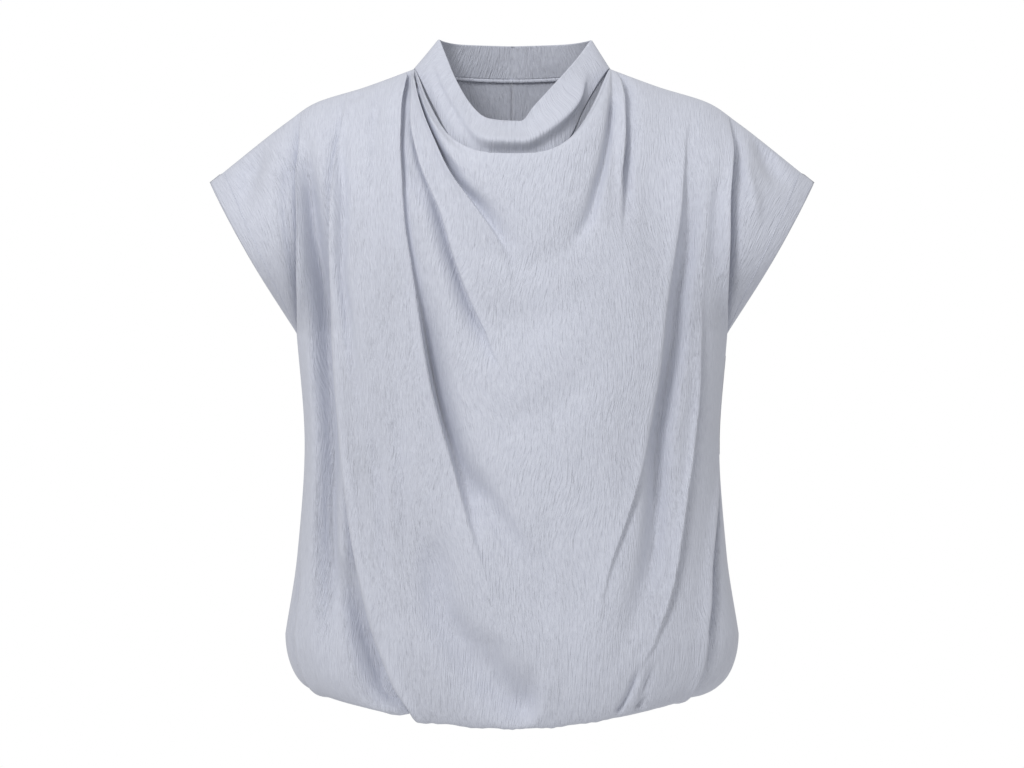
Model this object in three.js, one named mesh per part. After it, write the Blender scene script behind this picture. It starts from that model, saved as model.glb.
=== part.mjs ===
// A cowl neck top in millimetres, filled out as if worn: +Z up, +X to the viewer's right, the front facing -Y.
// The origin is the point midway between the two shoulder neck points, where a wearer carries the garment.
import * as THREE from "three";

// Sizes of the cloth
const CLOTH_WALL = 1.6;
const COLLAR_WALL = 2.8;
const SEAM_HALF_GAP = 0.15;
const COLLAR_GAP = 0.4;

// Neck and shoulders
const NECK_HALF_WIDTH = 98;
const NECK_POINT_RISE = 3;
const FRONT_NECK_DEPTH = 110;
const FRONT_NECK_DROP = 91;
const BACK_NECK_DEPTH = 68;
const NECK_SHARE = 0.36; // share of the half girth that lies under the neckline

// Heights of the body, as drops below the origin
const UNDERARM_DROP = 262;
const HIP_DROP = 560;
const HEM_DROP = 642;
const HEM_SIDE_RISE = 27;

// Body rings: half width, and depths to the front and back, at each drop
const BODY_RINGS = [
  { drop: UNDERARM_DROP, halfWidth: 215, front: 124, back: 104 },
  { drop: 373, halfWidth: 207, front: 128, back: 104 },
  { drop: 480, halfWidth: 214, front: 130, back: 108 },
  { drop: HIP_DROP, halfWidth: 226, front: 132, back: 112 },
];
const RING_POWER = 2.25; // 2 is an ellipse, more is squarer

// Shoulder line from the neck point to the sleeve tip, seen from the front, by share of the half girth
const SHOULDER_LINE = [
  { share: NECK_SHARE, x: NECK_HALF_WIDTH, z: NECK_POINT_RISE },
  { share: 0.52, x: 147, z: -15 },
  { share: 0.66, x: 197, z: -31 },
  { share: 0.78, x: 225, z: -50 },
  { share: 1, x: 302, z: -111 },
];
const SLEEVE_BELLY = 54; // how far the sleeve opening bows out to the front and back

// Hem turned under into its gathered casing
const HEM_TURN = THREE.MathUtils.degToRad(170);
const HEM_INSET_WIDTH = 61;
const HEM_INSET_DEPTH = 34;
const HEM_LENGTH = 130;
const GATHER_PITCH = 46;
const GATHER_DEPTH = 3.4;

// Roll of the cowl along the front neckline
const ROLL_SHARE = 0.33;
const ROLL_RADIUS = 5;
const ROLL_LEG = 18;
const ROLL_ARC_STEPS = 4;
const ROLL_LEG_STEPS = 2;

// Collar band: how deep its front tucks into the cowl, and how far it stands off it
const COLLAR_TUCK = 22;
const COLLAR_INSET_LEFT = 8;
const COLLAR_INSET_RIGHT = 12.5;
const COLLAR_BOW = 4;
const COLLAR_ROWS = 6;

// Top edge of the collar from the centre back, over the right side and the front, to the centre back again
const COLLAR_TOP = [
  { at: 0, x: 0, y: 60, z: 32 },
  { at: 0.11, x: 58, y: 42, z: 32 },
  { at: 0.21, x: 81, y: 0, z: 31 },
  { at: 0.27, x: 70, y: -18, z: 15 },
  { at: 0.33, x: 55, y: -36, z: -4 },
  { at: 0.39, x: 36, y: -55, z: -26 },
  { at: 0.435, x: 19, y: -72, z: -46 },
  { at: 0.47, x: 10, y: -79, z: -58 },
  { at: 0.52, x: -8, y: -80, z: -57.5 },
  { at: 0.57, x: -26, y: -76, z: -54.5 },
  { at: 0.61, x: -41, y: -62, z: -40 },
  { at: 0.68, x: -56, y: -42, z: -15 },
  { at: 0.74, x: -67, y: -20, z: 11 },
  { at: 0.79, x: -75, y: 0, z: 32 },
  { at: 0.89, x: -56, y: 42, z: 32 },
  { at: 1, x: 0, y: 60, z: 32 },
];

// Folds of the drape. Kinds: a pleat is a crisp line with its hollow to the left or right of it, a hollow and a
// ridge are soft. Depth, width and lip are in mm, fadeIn and fadeOut are shares of the length, and each point of
// the path is [distance round from the centre line, drop below the origin] in mm.
const FOLD_COLUMNS = ["name", "kind", "depth", "width", "lip", "fadeIn", "fadeOut", "path"];
const FRONT_FOLDS = [
  ["left outer hollow", "hollow", 6, 10, 0, 0.3, 0.2, [[-192, 115], [-196, 231], [-206, 366], [-193, 483], [-182, 540]]],
  ["left long pleat", "left pleat", 8, 22, 4, 0.2, 0.1,
    [[-164, 94], [-178, 193], [-182, 308], [-163, 433], [-127, 538], [-93, 600]]],
  ["left long hollow", "hollow", 4, 10, 0, 0.1, 0.4, [[-150, 40], [-160, 85], [-160, 166], [-156, 291]]],
  ["left neck pleat", "right pleat", 10, 21, 4, 0, 0.2, [[-107, 6], [-111, 45], [-109, 101], [-95, 212], [-81, 308], [-65, 374]]],
  ["left neck pleat foot", "hollow", 7, 17, 0, 0.4, 0.5, [[-71, 328], [-51, 374], [-32, 422], [-17, 465]]],
  ["second neck ridge", "ridge", 4, 9, 0, 0.1, 0.3, [[-102, 19], [-82, 84], [-63, 151], [-43, 210], [-21, 261], [-4, 313]]],
  ["second neck hollow", "hollow", 6, 9, 0, 0.1, 0.4, [[-106, 34], [-92, 92], [-65, 149], [-49, 196], [-35, 251], [-21, 289]]],
  ["third neck pleat", "right pleat", 9, 17, 4, 0, 0.3, [[-90, 13], [-77, 41], [-61, 74], [-41, 112], [-32, 158], [-13, 196]]],
  ["cowl line", "left pleat", 5, 11, 3, 0, 0.3, [[-83, 12], [-65, 37], [-48, 63], [-30, 87]]],
  ["cowl sag", "hollow", 5, 17, 0, 0.3, 0.2, [[-24, 146], [-9, 182], [16, 196], [40, 190], [60, 165], [72, 135]]],
  ["right neck hollow", "hollow", 7, 12, 0, 0, 0.2, [[102, 12], [94, 61], [82, 106], [70, 140], [51, 176]]],
  ["right neck pleat", "right pleat", 7, 13, 3, 0, 0.3, [[103, 4], [109, 34], [109, 66], [104, 101], [105, 134]]],
  ["right neck ridge", "ridge", 3, 11, 0, 0.1, 0.5, [[114, 28], [118, 76], [123, 139], [124, 220]]],
  ["right long pleat", "right pleat", 13, 23, 5, 0.2, 0.3, [[166, 61], [164, 124], [160, 187], [151, 269], [138, 371], [119, 442]]],
  ["great drape hollow", "hollow", 9, 18, 0, 0.4, 0.2, [[159, 328], [138, 433], [95, 530], [55, 564], [19, 571]]],
  ["great drape", "ridge", 8, 17, 0, 0.2, 0.2,
    [[-84, 328], [-57, 453], [-20, 541], [19, 582], [65, 578], [109, 547], [158, 481], [183, 418], [205, 259]]],
  ["lower left hollow", "hollow", 9, 14, 0, 0.4, 0.2, [[-112, 404], [-87, 503], [-58, 561], [-18, 583], [33, 602]]],
  ["lower left small hollow", "hollow", 6, 10, 0, 0.2, 0.2, [[-166, 496], [-154, 529], [-137, 564], [-112, 611]]],
  ["left sleeve pleat", "left pleat", 5, 15, 3, 0.1, 0.3, [[-199, 62], [-213, 124], [-222, 173], [-250, 250]]],
  ["left sleeve hollow", "hollow", 4, 9, 0, 0.3, 0.3, [[-241, 77], [-249, 94], [-256, 114]]],
  ["right sleeve pleat", "right pleat", 5, 15, 3, 0.1, 0.3, [[212, 72], [217, 114], [223, 173], [248, 250]]],
  ["right sleeve hollow", "hollow", 4, 9, 0, 0.3, 0.3, [[217, 69], [228, 89], [243, 110], [255, 119]]],
  ["right underarm hollow", "hollow", 3, 10, 0, 0.3, 0.3, [[197, 101], [204, 143], [207, 184]]],
  ["right side ridge", "ridge", 4, 9, 0, 0.3, 0.3, [[222, 393], [204, 490], [188, 580]]],
  ["right side hollow", "hollow", 4, 9, 0, 0.3, 0.3, [[204, 393], [189, 489], [171, 552]]],
  ["right side pleat", "right pleat", 6, 16, 3, 0.2, 0.2, [[251, 397], [232, 440], [212, 495], [200, 545]]],
  ["left side pleat", "left pleat", 5, 14, 3, 0.2, 0.2, [[-243, 470], [-225, 515], [-222, 600]]],
  ["upper drape shade", "hollow", 3, 22, 0, 0.4, 0.4, [[-55, 210], [-25, 245], [8, 254], [50, 236], [86, 190]]],
  ["lower drape shade", "hollow", 3, 20, 0, 0.4, 0.4, [[-42, 300], [0, 348], [52, 326], [98, 252]]],
];
const BACK_FOLDS = [
  ["left yoke hollow", "hollow", 6, 18, 0, 0.2, 0.4, [[-118, 30], [-112, 130], [-104, 250], [-108, 380], [-120, 500]]],
  ["left side hollow", "hollow", 7, 15, 0, 0.3, 0.2, [[-190, 120], [-196, 240], [-188, 370], [-200, 500], [-205, 590]]],
  ["left inner hollow", "hollow", 5, 16, 0, 0.3, 0.2, [[-48, 190], [-56, 320], [-62, 450], [-50, 600]]],
  ["left low hollow", "hollow", 6, 14, 0, 0.4, 0.1, [[-152, 380], [-158, 470], [-146, 600]]],
  ["right yoke hollow", "hollow", 7, 19, 0, 0.2, 0.4, [[122, 34], [110, 140], [112, 260], [98, 380], [94, 470]]],
  ["right side hollow", "hollow", 6, 16, 0, 0.3, 0.2, [[186, 110], [194, 230], [200, 350], [192, 480], [208, 580]]],
  ["right inner hollow", "hollow", 5, 15, 0, 0.4, 0.2, [[44, 260], [38, 400], [52, 520], [46, 610]]],
  ["right low hollow", "hollow", 6, 14, 0, 0.3, 0.1, [[148, 330], [140, 450], [156, 600]]],
];
const PLEAT_STEP = 0.42; // how soon the cloth drops into a pleat's hollow, as a share of the hollow's width
const PLEAT_LIP = 0.6;
const FOLD_SAMPLES = 8; // steps between two points of a path
const FOLD_DEEPEST = 17;
const FOLD_HIGHEST = 11;
const SEAM_FLAT = 16; // folds die away over this distance to the side and centre back seams
const SHOULDER_FLAT = 9;

const FRONT = -1;
const BACK = 1;

// Grid of the cloth, finer on the front, where the folds are closer
const GRID = {
  [FRONT]: { neckColumns: 11, shoulderColumns: 21, upperRows: 13, bodyRows: 14, hemRows: 8 },
  [BACK]: { neckColumns: 8, shoulderColumns: 13, upperRows: 10, bodyRows: 11, hemRows: 7 },
};

const UP = new THREE.Vector3(0, 0, 1);
const clamp = THREE.MathUtils.clamp;
const smooth = (from, to, value) => THREE.MathUtils.smoothstep(value, from, to);

// A smooth curve through the rows of a table that never swings past them.
function along(rows, key, column, value) {
  const last = rows.length - 1;
  let i = 0;
  while (i < last - 1 && value > rows[i + 1][key]) i += 1;
  const rise = (j) => (rows[j + 1][column] - rows[j][column]) / (rows[j + 1][key] - rows[j][key]);
  const slope = (j) => {
    if (j === 0) return rise(0);
    if (j === last) return rise(last - 1);
    const before = rise(j - 1);
    const after = rise(j);
    return before * after > 0 ? (2 * before * after) / (before + after) : 0;
  };
  const width = rows[i + 1][key] - rows[i][key];
  const t = clamp((value - rows[i][key]) / width, 0, 1);
  const t2 = t * t;
  const t3 = t2 * t;
  return (
    (2 * t3 - 3 * t2 + 1) * rows[i][column] +
    (t3 - 2 * t2 + t) * width * slope(i) +
    (3 * t2 - 2 * t3) * rows[i + 1][column] +
    (t3 - t2) * width * slope(i + 1)
  );
}

// A quarter of a body ring in even steps of its angle, with the distance along it, so that columns can be even.
const QUARTER_STEPS = 2000;
const QUARTER = (() => {
  const { halfWidth, front } = BODY_RINGS[0];
  const at = (angle) => [halfWidth * Math.sin(angle) ** (2 / RING_POWER), front * Math.cos(angle) ** (2 / RING_POWER)];
  const lengths = [0];
  let [x0, y0] = at(0);
  for (let i = 1; i <= QUARTER_STEPS; i += 1) {
    const [x, y] = at((Math.min(i / QUARTER_STEPS, 1) * Math.PI) / 2 - (i === QUARTER_STEPS ? 1e-9 : 0));
    lengths.push(lengths[i - 1] + Math.hypot(x - x0, y - y0));
    [x0, y0] = [x, y];
  }
  return lengths;
})();
const HALF_GIRTH = QUARTER[QUARTER_STEPS];

function ringAngle(share) {
  const wanted = clamp(Math.abs(share), 0, 1) * HALF_GIRTH;
  let low = 0;
  let high = QUARTER_STEPS;
  while (high - low > 1) {
    const middle = (low + high) >> 1;
    if (QUARTER[middle] <= wanted) low = middle;
    else high = middle;
  }
  const part = (wanted - QUARTER[low]) / (QUARTER[high] - QUARTER[low]);
  return ((low + part) / QUARTER_STEPS) * (Math.PI / 2);
}

function ringPoint(share, halfWidth, depth) {
  const angle = ringAngle(share);
  return {
    x: Math.sign(share) * halfWidth * Math.sin(angle) ** (2 / RING_POWER),
    depth: depth * Math.max(Math.cos(angle), 0) ** (2 / RING_POWER),
  };
}

// The upper edge of a panel: the neckline near the centre, then the shoulder and sleeve line.
function topEdge(share, side) {
  const a = Math.abs(share);
  if (a >= NECK_SHARE) {
    const x = Math.sign(share) * along(SHOULDER_LINE, "share", "x", a);
    return new THREE.Vector3(x, 0, along(SHOULDER_LINE, "share", "z", a));
  }
  const across = Math.sin(((a / NECK_SHARE) * Math.PI) / 2) ** 0.95;
  const x = Math.sign(share) * NECK_HALF_WIDTH * across;
  if (side === BACK) {
    return new THREE.Vector3(x, BACK_NECK_DEPTH * Math.sqrt(1 - across ** 2), NECK_POINT_RISE * across ** 2);
  }
  const y = -FRONT_NECK_DEPTH * (1 - across ** 2.8) ** 0.6;
  return new THREE.Vector3(x, y, -FRONT_NECK_DROP + (FRONT_NECK_DROP + NECK_POINT_RISE) * across ** 3.2);
}

// The smooth body of the garment. Share runs from -1 at the left side seam to 1 at the right one, and level from
// 0 at the shoulders, by 1 at the underarm and 2 at the hip, to 3 at the casing inside the hem.
function bodyPoint(share, level, side) {
  const a = Math.abs(share);
  const depthKey = side === FRONT ? "front" : "back";
  if (level <= 1) {
    const top = topEdge(share, side);
    const under = ringPoint(share, BODY_RINGS[0].halfWidth, BODY_RINGS[0][depthKey]);
    const inward = 1 - (1 - level) ** (1.7 - 0.7 * smooth(0.6, 1, a));
    const outward = (1 - (1 - level) ** 3) ** 0.62;
    const belly = SLEEVE_BELLY * Math.sin(Math.PI * level) ** 0.8 * smooth(0.5, 1, a);
    return new THREE.Vector3(
      top.x + (under.x - top.x) * inward,
      top.y + (side * under.depth - top.y) * outward + side * belly,
      top.z + (-UNDERARM_DROP - top.z) * level,
    );
  }
  if (level <= 2) {
    const drop = UNDERARM_DROP + (HIP_DROP - UNDERARM_DROP) * (level - 1);
    const at = ringPoint(share, along(BODY_RINGS, "drop", "halfWidth", drop), along(BODY_RINGS, "drop", depthKey, drop));
    return new THREE.Vector3(at.x, side * at.depth, -drop);
  }
  const hip = BODY_RINGS[BODY_RINGS.length - 1];
  const turn = HEM_TURN * (level - 2);
  const inset = (1 - Math.cos(turn)) / (1 - Math.cos(HEM_TURN));
  const at = ringPoint(share, hip.halfWidth - HEM_INSET_WIDTH * inset, hip[depthKey] - HEM_INSET_DEPTH * inset);
  const bottom = HEM_DROP - HEM_SIDE_RISE * Math.sin((a * Math.PI) / 2) ** 2;
  return new THREE.Vector3(at.x, side * at.depth, -HIP_DROP - (bottom - HIP_DROP) * Math.sin(turn));
}

function bodyNormal(share, level, side) {
  const step = 0.004;
  const to = (ds, dl) => bodyPoint(clamp(share + ds, -1, 1), clamp(level + dl, 0, 3), side);
  const across = to(step, 0).sub(to(-step, 0));
  const down = to(0, step).sub(to(0, -step));
  const normal = side === FRONT ? down.cross(across) : across.cross(down);
  return normal.normalize();
}

// A fold's path as a smooth line of many short steps, each knowing how far along the fold it lies.
function foldLine(fold) {
  const curve = new THREE.CatmullRomCurve3(fold.path.map(([round, drop]) => new THREE.Vector3(round, drop, 0)));
  return curve.getPoints((fold.path.length - 1) * FOLD_SAMPLES);
}

function readFolds(rows) {
  const folds = rows.map((row) => Object.fromEntries(FOLD_COLUMNS.map((column, i) => [column, row[i]])));
  return folds.map((fold) => ({ ...fold, line: foldLine(fold) }));
}

// How far a fold lifts the cloth at a point, in mm; hollows are negative.
function foldHeight(fold, round, drop) {
  const { line } = fold;
  let nearest = Infinity;
  let onRight = 1;
  let travelled = 0;
  for (let i = 0; i < line.length - 1; i += 1) {
    const [from, to] = [line[i], line[i + 1]];
    const [dx, dy] = [to.x - from.x, to.y - from.y];
    const t = clamp(((round - from.x) * dx + (drop - from.y) * dy) / (dx * dx + dy * dy), 0, 1);
    const distance = Math.hypot(round - from.x - t * dx, drop - from.y - t * dy);
    if (distance < nearest) {
      nearest = distance;
      onRight = dx * (drop - from.y) - dy * (round - from.x) < 0 ? 1 : -1;
      travelled = (i + t) / (line.length - 1);
    }
  }
  if (nearest > 3 * fold.width) return 0;
  const fade =
    (fold.fadeIn ? smooth(0, fold.fadeIn, travelled) : 1) * (fold.fadeOut ? 1 - smooth(1 - fold.fadeOut, 1, travelled) : 1);
  const bell = (width) => Math.exp(-((nearest / width) ** 2));
  if (fold.kind === "hollow") return -fold.depth * fade * bell(fold.width);
  if (fold.kind === "ridge") return fold.depth * fade * bell(fold.width);
  const inHollow = onRight === (fold.kind === "right pleat" ? 1 : -1);
  if (!inHollow) return fold.lip * fade * bell(fold.width * PLEAT_LIP);
  const step = bell(fold.width * PLEAT_STEP);
  return fade * (fold.lip * step - fold.depth * (1 - step) * bell(fold.width));
}

const folds = { [FRONT]: readFolds(FRONT_FOLDS), [BACK]: readFolds(BACK_FOLDS) };

// All folds and gathers at a point of a panel. They die away at the seams, so that the pieces meet.
function clothHeight(share, level, side) {
  const a = Math.abs(share);
  const round = share * HALF_GIRTH;
  const drop = level <= 2 ? -bodyPoint(share, level, side).z : HIP_DROP + HEM_LENGTH * (level - 2);
  const sum = folds[side].reduce((height, fold) => height + foldHeight(fold, round, drop), 0);
  const gather = GATHER_DEPTH * smooth(2.35, 3, level) * Math.cos((2 * Math.PI * round) / GATHER_PITCH + 0.6 * Math.sin(round / 61));
  const toSide = (1 - a) * HALF_GIRTH;
  const sideFlat = level >= 1 ? smooth(0, SEAM_FLAT, toSide) : Math.max(smooth(0, SEAM_FLAT, toSide), smooth(1, 0.9, level) * smooth(0, 0.1, level));
  const backFlat = side === BACK ? smooth(0, SEAM_FLAT, a * HALF_GIRTH) : 1;
  const toTop = drop + topEdge(share, side).z;
  const neckOpen = side === FRONT ? 1 - smooth(0.55, 0.85, a / NECK_SHARE) : 0;
  const topFlat = Math.max(smooth(0, SHOULDER_FLAT, toTop), neckOpen);
  return clamp(sum + gather, -FOLD_DEEPEST, FOLD_HIGHEST) * sideFlat * backFlat * topFlat;
}

// A sheet of cloth: the points of its outer face, four-sided patches between them that face out, and any edge
// directions that a seam fixes. It becomes a closed wall, its inner face one thickness inside the outer one.
class Sheet {
  constructor() {
    this.points = [];
    this.patches = [];
    this.edgeDirections = new Map();
  }

  add(point) {
    this.points.push(point);
    return this.points.length - 1;
  }

  patch(a, b, c, d) {
    this.patches.push([a, b, c, d]);
  }

  directions() {
    const sums = this.points.map(() => new THREE.Vector3());
    for (const corners of this.patches) {
      const [a, b, c, d] = corners.map((i) => this.points[i]);
      const face = c.clone().sub(a).cross(d.clone().sub(b));
      for (const i of corners) sums[i].add(face);
    }
    sums.forEach((sum, i) => {
      const turn = this.edgeDirections.get(i);
      if (turn) turn(sum);
      sum.normalize();
    });
    return sums;
  }

  wall(thickness) {
    const outer = this.points;
    const directions = this.directions();
    const inner = outer.map((point, i) => point.clone().addScaledVector(directions[i], -thickness));
    const count = outer.length;
    const index = [];
    const open = new Map();
    const face = (a, b, c, d) => index.push(a, b, c, a, c, d);
    for (const [a, b, c, d] of this.patches) {
      if (outer[a].distanceTo(outer[c]) < outer[b].distanceTo(outer[d])) {
        face(a, b, c, d);
        face(a + count, d + count, c + count, b + count);
      } else {
        face(b, c, d, a);
        face(d + count, c + count, b + count, a + count);
      }
      for (const [from, to] of [[a, b], [b, c], [c, d], [d, a]]) {
        if (!open.delete(`${to} ${from}`)) open.set(`${from} ${to}`, [from, to]);
      }
    }
    for (const [from, to] of open.values()) face(to, from, from + count, to + count);
    const geometry = new THREE.BufferGeometry();
    geometry.setAttribute("position", new THREE.Float32BufferAttribute([...outer, ...inner].flatMap((p) => p.toArray()), 3));
    geometry.setIndex(index);
    geometry.computeVertexNormals();
    return geometry;
  }
}

// Levels of the rows from the top edge to the casing.
function rowLevels({ upperRows, bodyRows, hemRows }) {
  const levels = [];
  for (let i = 0; i < upperRows; i += 1) levels.push(i / upperRows);
  for (let i = 0; i < bodyRows; i += 1) levels.push(1 + i / bodyRows);
  for (let i = 0; i <= hemRows; i += 1) levels.push(2 + i / hemRows);
  return levels;
}

// Shares of the columns from the centre to the side, with one exactly at the neck point.
function halfColumnShares({ neckColumns, shoulderColumns }) {
  const shares = [];
  for (let i = 0; i < neckColumns; i += 1) shares.push((i / neckColumns) * NECK_SHARE);
  for (let i = 0; i <= shoulderColumns; i += 1) shares.push(NECK_SHARE + (i / shoulderColumns) * (1 - NECK_SHARE));
  return shares;
}

const flattenX = (direction) => direction.setX(0);
const flattenY = (direction) => direction.setY(0);
const flattenZ = (direction) => direction.setZ(0);

// One panel between the given columns, with its seam edges ruled square to the seam.
function panelSheet(shares, side) {
  const sheet = new Sheet();
  const levels = rowLevels(GRID[side]);
  const grid = levels.map((level, row) =>
    shares.map((share) => {
      const a = Math.abs(share);
      const point = bodyPoint(share, level, side);
      point.addScaledVector(bodyNormal(share, level, side), clothHeight(share, level, side));
      const onSeam = (a === 1 && (level === 0 || level >= 1)) || (row === 0 && a >= NECK_SHARE);
      if (onSeam) point.setY(0);
      point.y += side * SEAM_HALF_GAP;
      if (side === BACK && a === 0) point.setX(0);
      const index = sheet.add(point);
      if (onSeam) sheet.edgeDirections.set(index, flattenY);
      if (side === BACK && a === 0) sheet.edgeDirections.set(index, flattenX);
      return index;
    }),
  );
  for (let row = 0; row < levels.length - 1; row += 1) {
    for (let column = 0; column < shares.length - 1; column += 1) {
      const corners = [grid[row][column], grid[row + 1][column], grid[row + 1][column + 1], grid[row][column + 1]];
      sheet.patch(...(side === FRONT ? corners : corners.reverse()));
    }
  }
  return { sheet, top: grid[0] };
}

// The way from the neckline towards the inside of the neck, level and square to the neckline.
function neckInward(share, side) {
  const step = 0.004;
  const from = topEdge(clamp(share - step, -NECK_SHARE, NECK_SHARE), side);
  const to = topEdge(clamp(share + step, -NECK_SHARE, NECK_SHARE), side);
  const inward = new THREE.Vector3(to.y - from.y, from.x - to.x, 0).normalize();
  return side === FRONT ? inward.negate() : inward;
}

// The cowl: the front's own top edge rolled over into the neck.
function addRoll(sheet, top, shares) {
  let above = null;
  shares.forEach((share, column) => {
    if (Math.abs(share) > ROLL_SHARE) {
      above = null;
      return;
    }
    const full = 1 - (Math.abs(share) / NECK_SHARE) ** 4;
    const crest = sheet.points[top[column]];
    const inward = neckInward(share, FRONT);
    const strip = [top[column]];
    for (let i = 1; i <= ROLL_ARC_STEPS + ROLL_LEG_STEPS; i += 1) {
      const turn = (Math.min(i / ROLL_ARC_STEPS, 1) * Math.PI) / 2;
      const leg = Math.max(i - ROLL_ARC_STEPS, 0) / ROLL_LEG_STEPS;
      const point = crest.clone().addScaledVector(inward, ROLL_RADIUS * full * Math.sin(turn));
      point.z -= full * (ROLL_RADIUS * (1 - Math.cos(turn)) + ROLL_LEG * leg);
      strip.push(sheet.add(point));
    }
    if (above) {
      for (let i = 0; i < strip.length - 1; i += 1) sheet.patch(above[i + 1], above[i], strip[i], strip[i + 1]);
    }
    above = strip;
  });
}

function buildFront() {
  const half = halfColumnShares(GRID[FRONT]);
  const shares = [...half.slice(1).reverse().map((share) => -share), ...half];
  const { sheet, top } = panelSheet(shares, FRONT);
  addRoll(sheet, top, shares);
  return sheet.wall(CLOTH_WALL);
}

// A back panel keeps the centre seam's half gap, and its neck edge stands square to the collar above it.
function buildBack(hand) {
  const half = halfColumnShares(GRID[BACK]);
  const shares = hand > 0 ? half : half.map((share) => -share).reverse();
  const { sheet, top } = panelSheet(shares, BACK);
  top.forEach((index, column) => {
    if (Math.abs(shares[column]) > NECK_SHARE) return;
    const outward = neckInward(shares[column], BACK).negate();
    if (shares[column] === 0) outward.set(0, 1, 0);
    if (Math.abs(shares[column]) === NECK_SHARE) outward.set(hand, 0, 0);
    sheet.edgeDirections.set(index, (direction) => direction.copy(outward));
  });
  sheet.points.forEach((point) => {
    point.x += hand * SEAM_HALF_GAP;
  });
  return sheet.wall(CLOTH_WALL);
}

// The collar's lower edge: along the back it stands on the panels, and round the front it tucks inside the cowl.
function collarFoot(share, side) {
  const edge = topEdge(share, side);
  if (side === BACK) return edge.setZ(edge.z + COLLAR_GAP).setY(edge.y + SEAM_HALF_GAP);
  const fromCorner = 1 - Math.abs(share) / NECK_SHARE;
  const stand = THREE.MathUtils.mapLinear(share, -NECK_SHARE, NECK_SHARE, COLLAR_INSET_LEFT, COLLAR_INSET_RIGHT);
  edge.addScaledVector(neckInward(share, FRONT), stand * smooth(0, 0.14, fromCorner));
  edge.z += COLLAR_GAP - (COLLAR_GAP + COLLAR_TUCK) * smooth(0.03, 0.33, fromCorner);
  return edge;
}

// Stations round the collar: how far round its top edge, and which neckline point lies below.
function collarStations() {
  const [rightNeck, leftNeck] = [0.21, 0.79];
  const [backSteps, frontSteps] = [9, 26];
  const stations = [];
  for (let i = 0; i < backSteps; i += 1) {
    stations.push({ at: (i / backSteps) * rightNeck, share: (i / backSteps) * NECK_SHARE, side: BACK });
  }
  for (let i = 0; i <= frontSteps; i += 1) {
    const t = i / frontSteps;
    stations.push({ at: rightNeck + t * (leftNeck - rightNeck), share: (1 - 2 * t) * NECK_SHARE, side: FRONT });
  }
  for (let i = 1; i <= backSteps; i += 1) {
    const t = i / backSteps;
    stations.push({ at: leftNeck + t * (1 - leftNeck), share: -(1 - t) * NECK_SHARE, side: BACK });
  }
  return stations;
}

function buildCollar() {
  const sheet = new Sheet();
  const stations = collarStations();
  const grid = stations.map(({ at, share, side }, column) => {
    const foot = collarFoot(share, side);
    const head = new THREE.Vector3(
      along(COLLAR_TOP, "at", "x", at),
      along(COLLAR_TOP, "at", "y", at),
      along(COLLAR_TOP, "at", "z", at),
    );
    const outward = neckInward(share, side).negate();
    const first = column === 0;
    const last = column === stations.length - 1;
    return Array.from({ length: COLLAR_ROWS + 1 }, (_, row) => {
      const t = row / COLLAR_ROWS;
      const point = foot.clone().lerp(head, t);
      if (side === FRONT) point.addScaledVector(outward, COLLAR_BOW * Math.sin(Math.PI * t) * smooth(1, 0.7, Math.abs(share) / NECK_SHARE));
      if (first) point.setX(SEAM_HALF_GAP);
      if (last) point.setX(-SEAM_HALF_GAP);
      const index = sheet.add(point);
      if (first || last) sheet.edgeDirections.set(index, row ? flattenX : (direction) => flattenZ(flattenX(direction)));
      else if (row === 0) sheet.edgeDirections.set(index, flattenZ);
      return index;
    });
  });
  for (let column = 0; column < grid.length - 1; column += 1) {
    for (let row = 0; row < COLLAR_ROWS; row += 1) {
      sheet.patch(grid[column][row], grid[column][row + 1], grid[column + 1][row + 1], grid[column + 1][row]);
    }
  }
  return sheet.wall(COLLAR_WALL);
}

const CREPE = { color: 0xbbbec9, roughness: 0.82, metalness: 0 };

function piece(name, geometry) {
  const mesh = new THREE.Mesh(geometry, new THREE.MeshStandardMaterial(CREPE));
  mesh.name = name;
  return mesh;
}

const top = new THREE.Group();
top.add(piece("front", buildFront()));
top.add(piece("back_left", buildBack(-1)));
top.add(piece("back_right", buildBack(1)));
top.add(piece("collar", buildCollar()));

export default top;
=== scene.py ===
"""A cowl neck top of crinkled crepe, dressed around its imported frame.

The frame is in metres, +Z up, +X to the viewer's right, with the front facing -Y. Sizes of the cloth are in
millimetres, and each mesh is made in metres.
"""

from __future__ import annotations

import logging
import math
from collections.abc import Sequence
from dataclasses import dataclass, field
from enum import Enum

import bpy
import numpy as np
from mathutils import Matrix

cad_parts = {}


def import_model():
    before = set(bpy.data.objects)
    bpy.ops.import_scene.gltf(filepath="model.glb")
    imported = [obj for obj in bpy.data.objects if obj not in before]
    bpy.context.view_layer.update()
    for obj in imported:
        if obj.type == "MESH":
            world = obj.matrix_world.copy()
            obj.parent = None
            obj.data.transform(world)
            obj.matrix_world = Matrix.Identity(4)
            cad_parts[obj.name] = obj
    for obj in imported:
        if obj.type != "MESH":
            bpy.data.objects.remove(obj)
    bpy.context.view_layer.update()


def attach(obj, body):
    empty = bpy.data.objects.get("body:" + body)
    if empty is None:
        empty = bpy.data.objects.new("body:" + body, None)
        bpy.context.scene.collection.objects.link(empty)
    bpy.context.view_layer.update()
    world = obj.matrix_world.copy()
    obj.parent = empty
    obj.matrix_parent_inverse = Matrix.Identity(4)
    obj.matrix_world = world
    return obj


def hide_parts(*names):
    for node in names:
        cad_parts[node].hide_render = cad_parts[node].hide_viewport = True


LOG = logging.getLogger("cowl_neck_top")
MM = 0.001
ON_EDGE = 1e-6  # how near a share of the half girth lies to an edge that it is on
UP = np.array([0.0, 0.0, 1.0])
ROOT_BODY = "root"
CLOTH_UV = "cloth"


class Side(Enum):
    """The side of the body that a panel covers, with the sign of its Y."""

    FRONT = -1
    BACK = 1


class Hand(Enum):
    """Left or right as the viewer sees the front, with the sign of its X."""

    LEFT = -1
    RIGHT = 1


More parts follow.
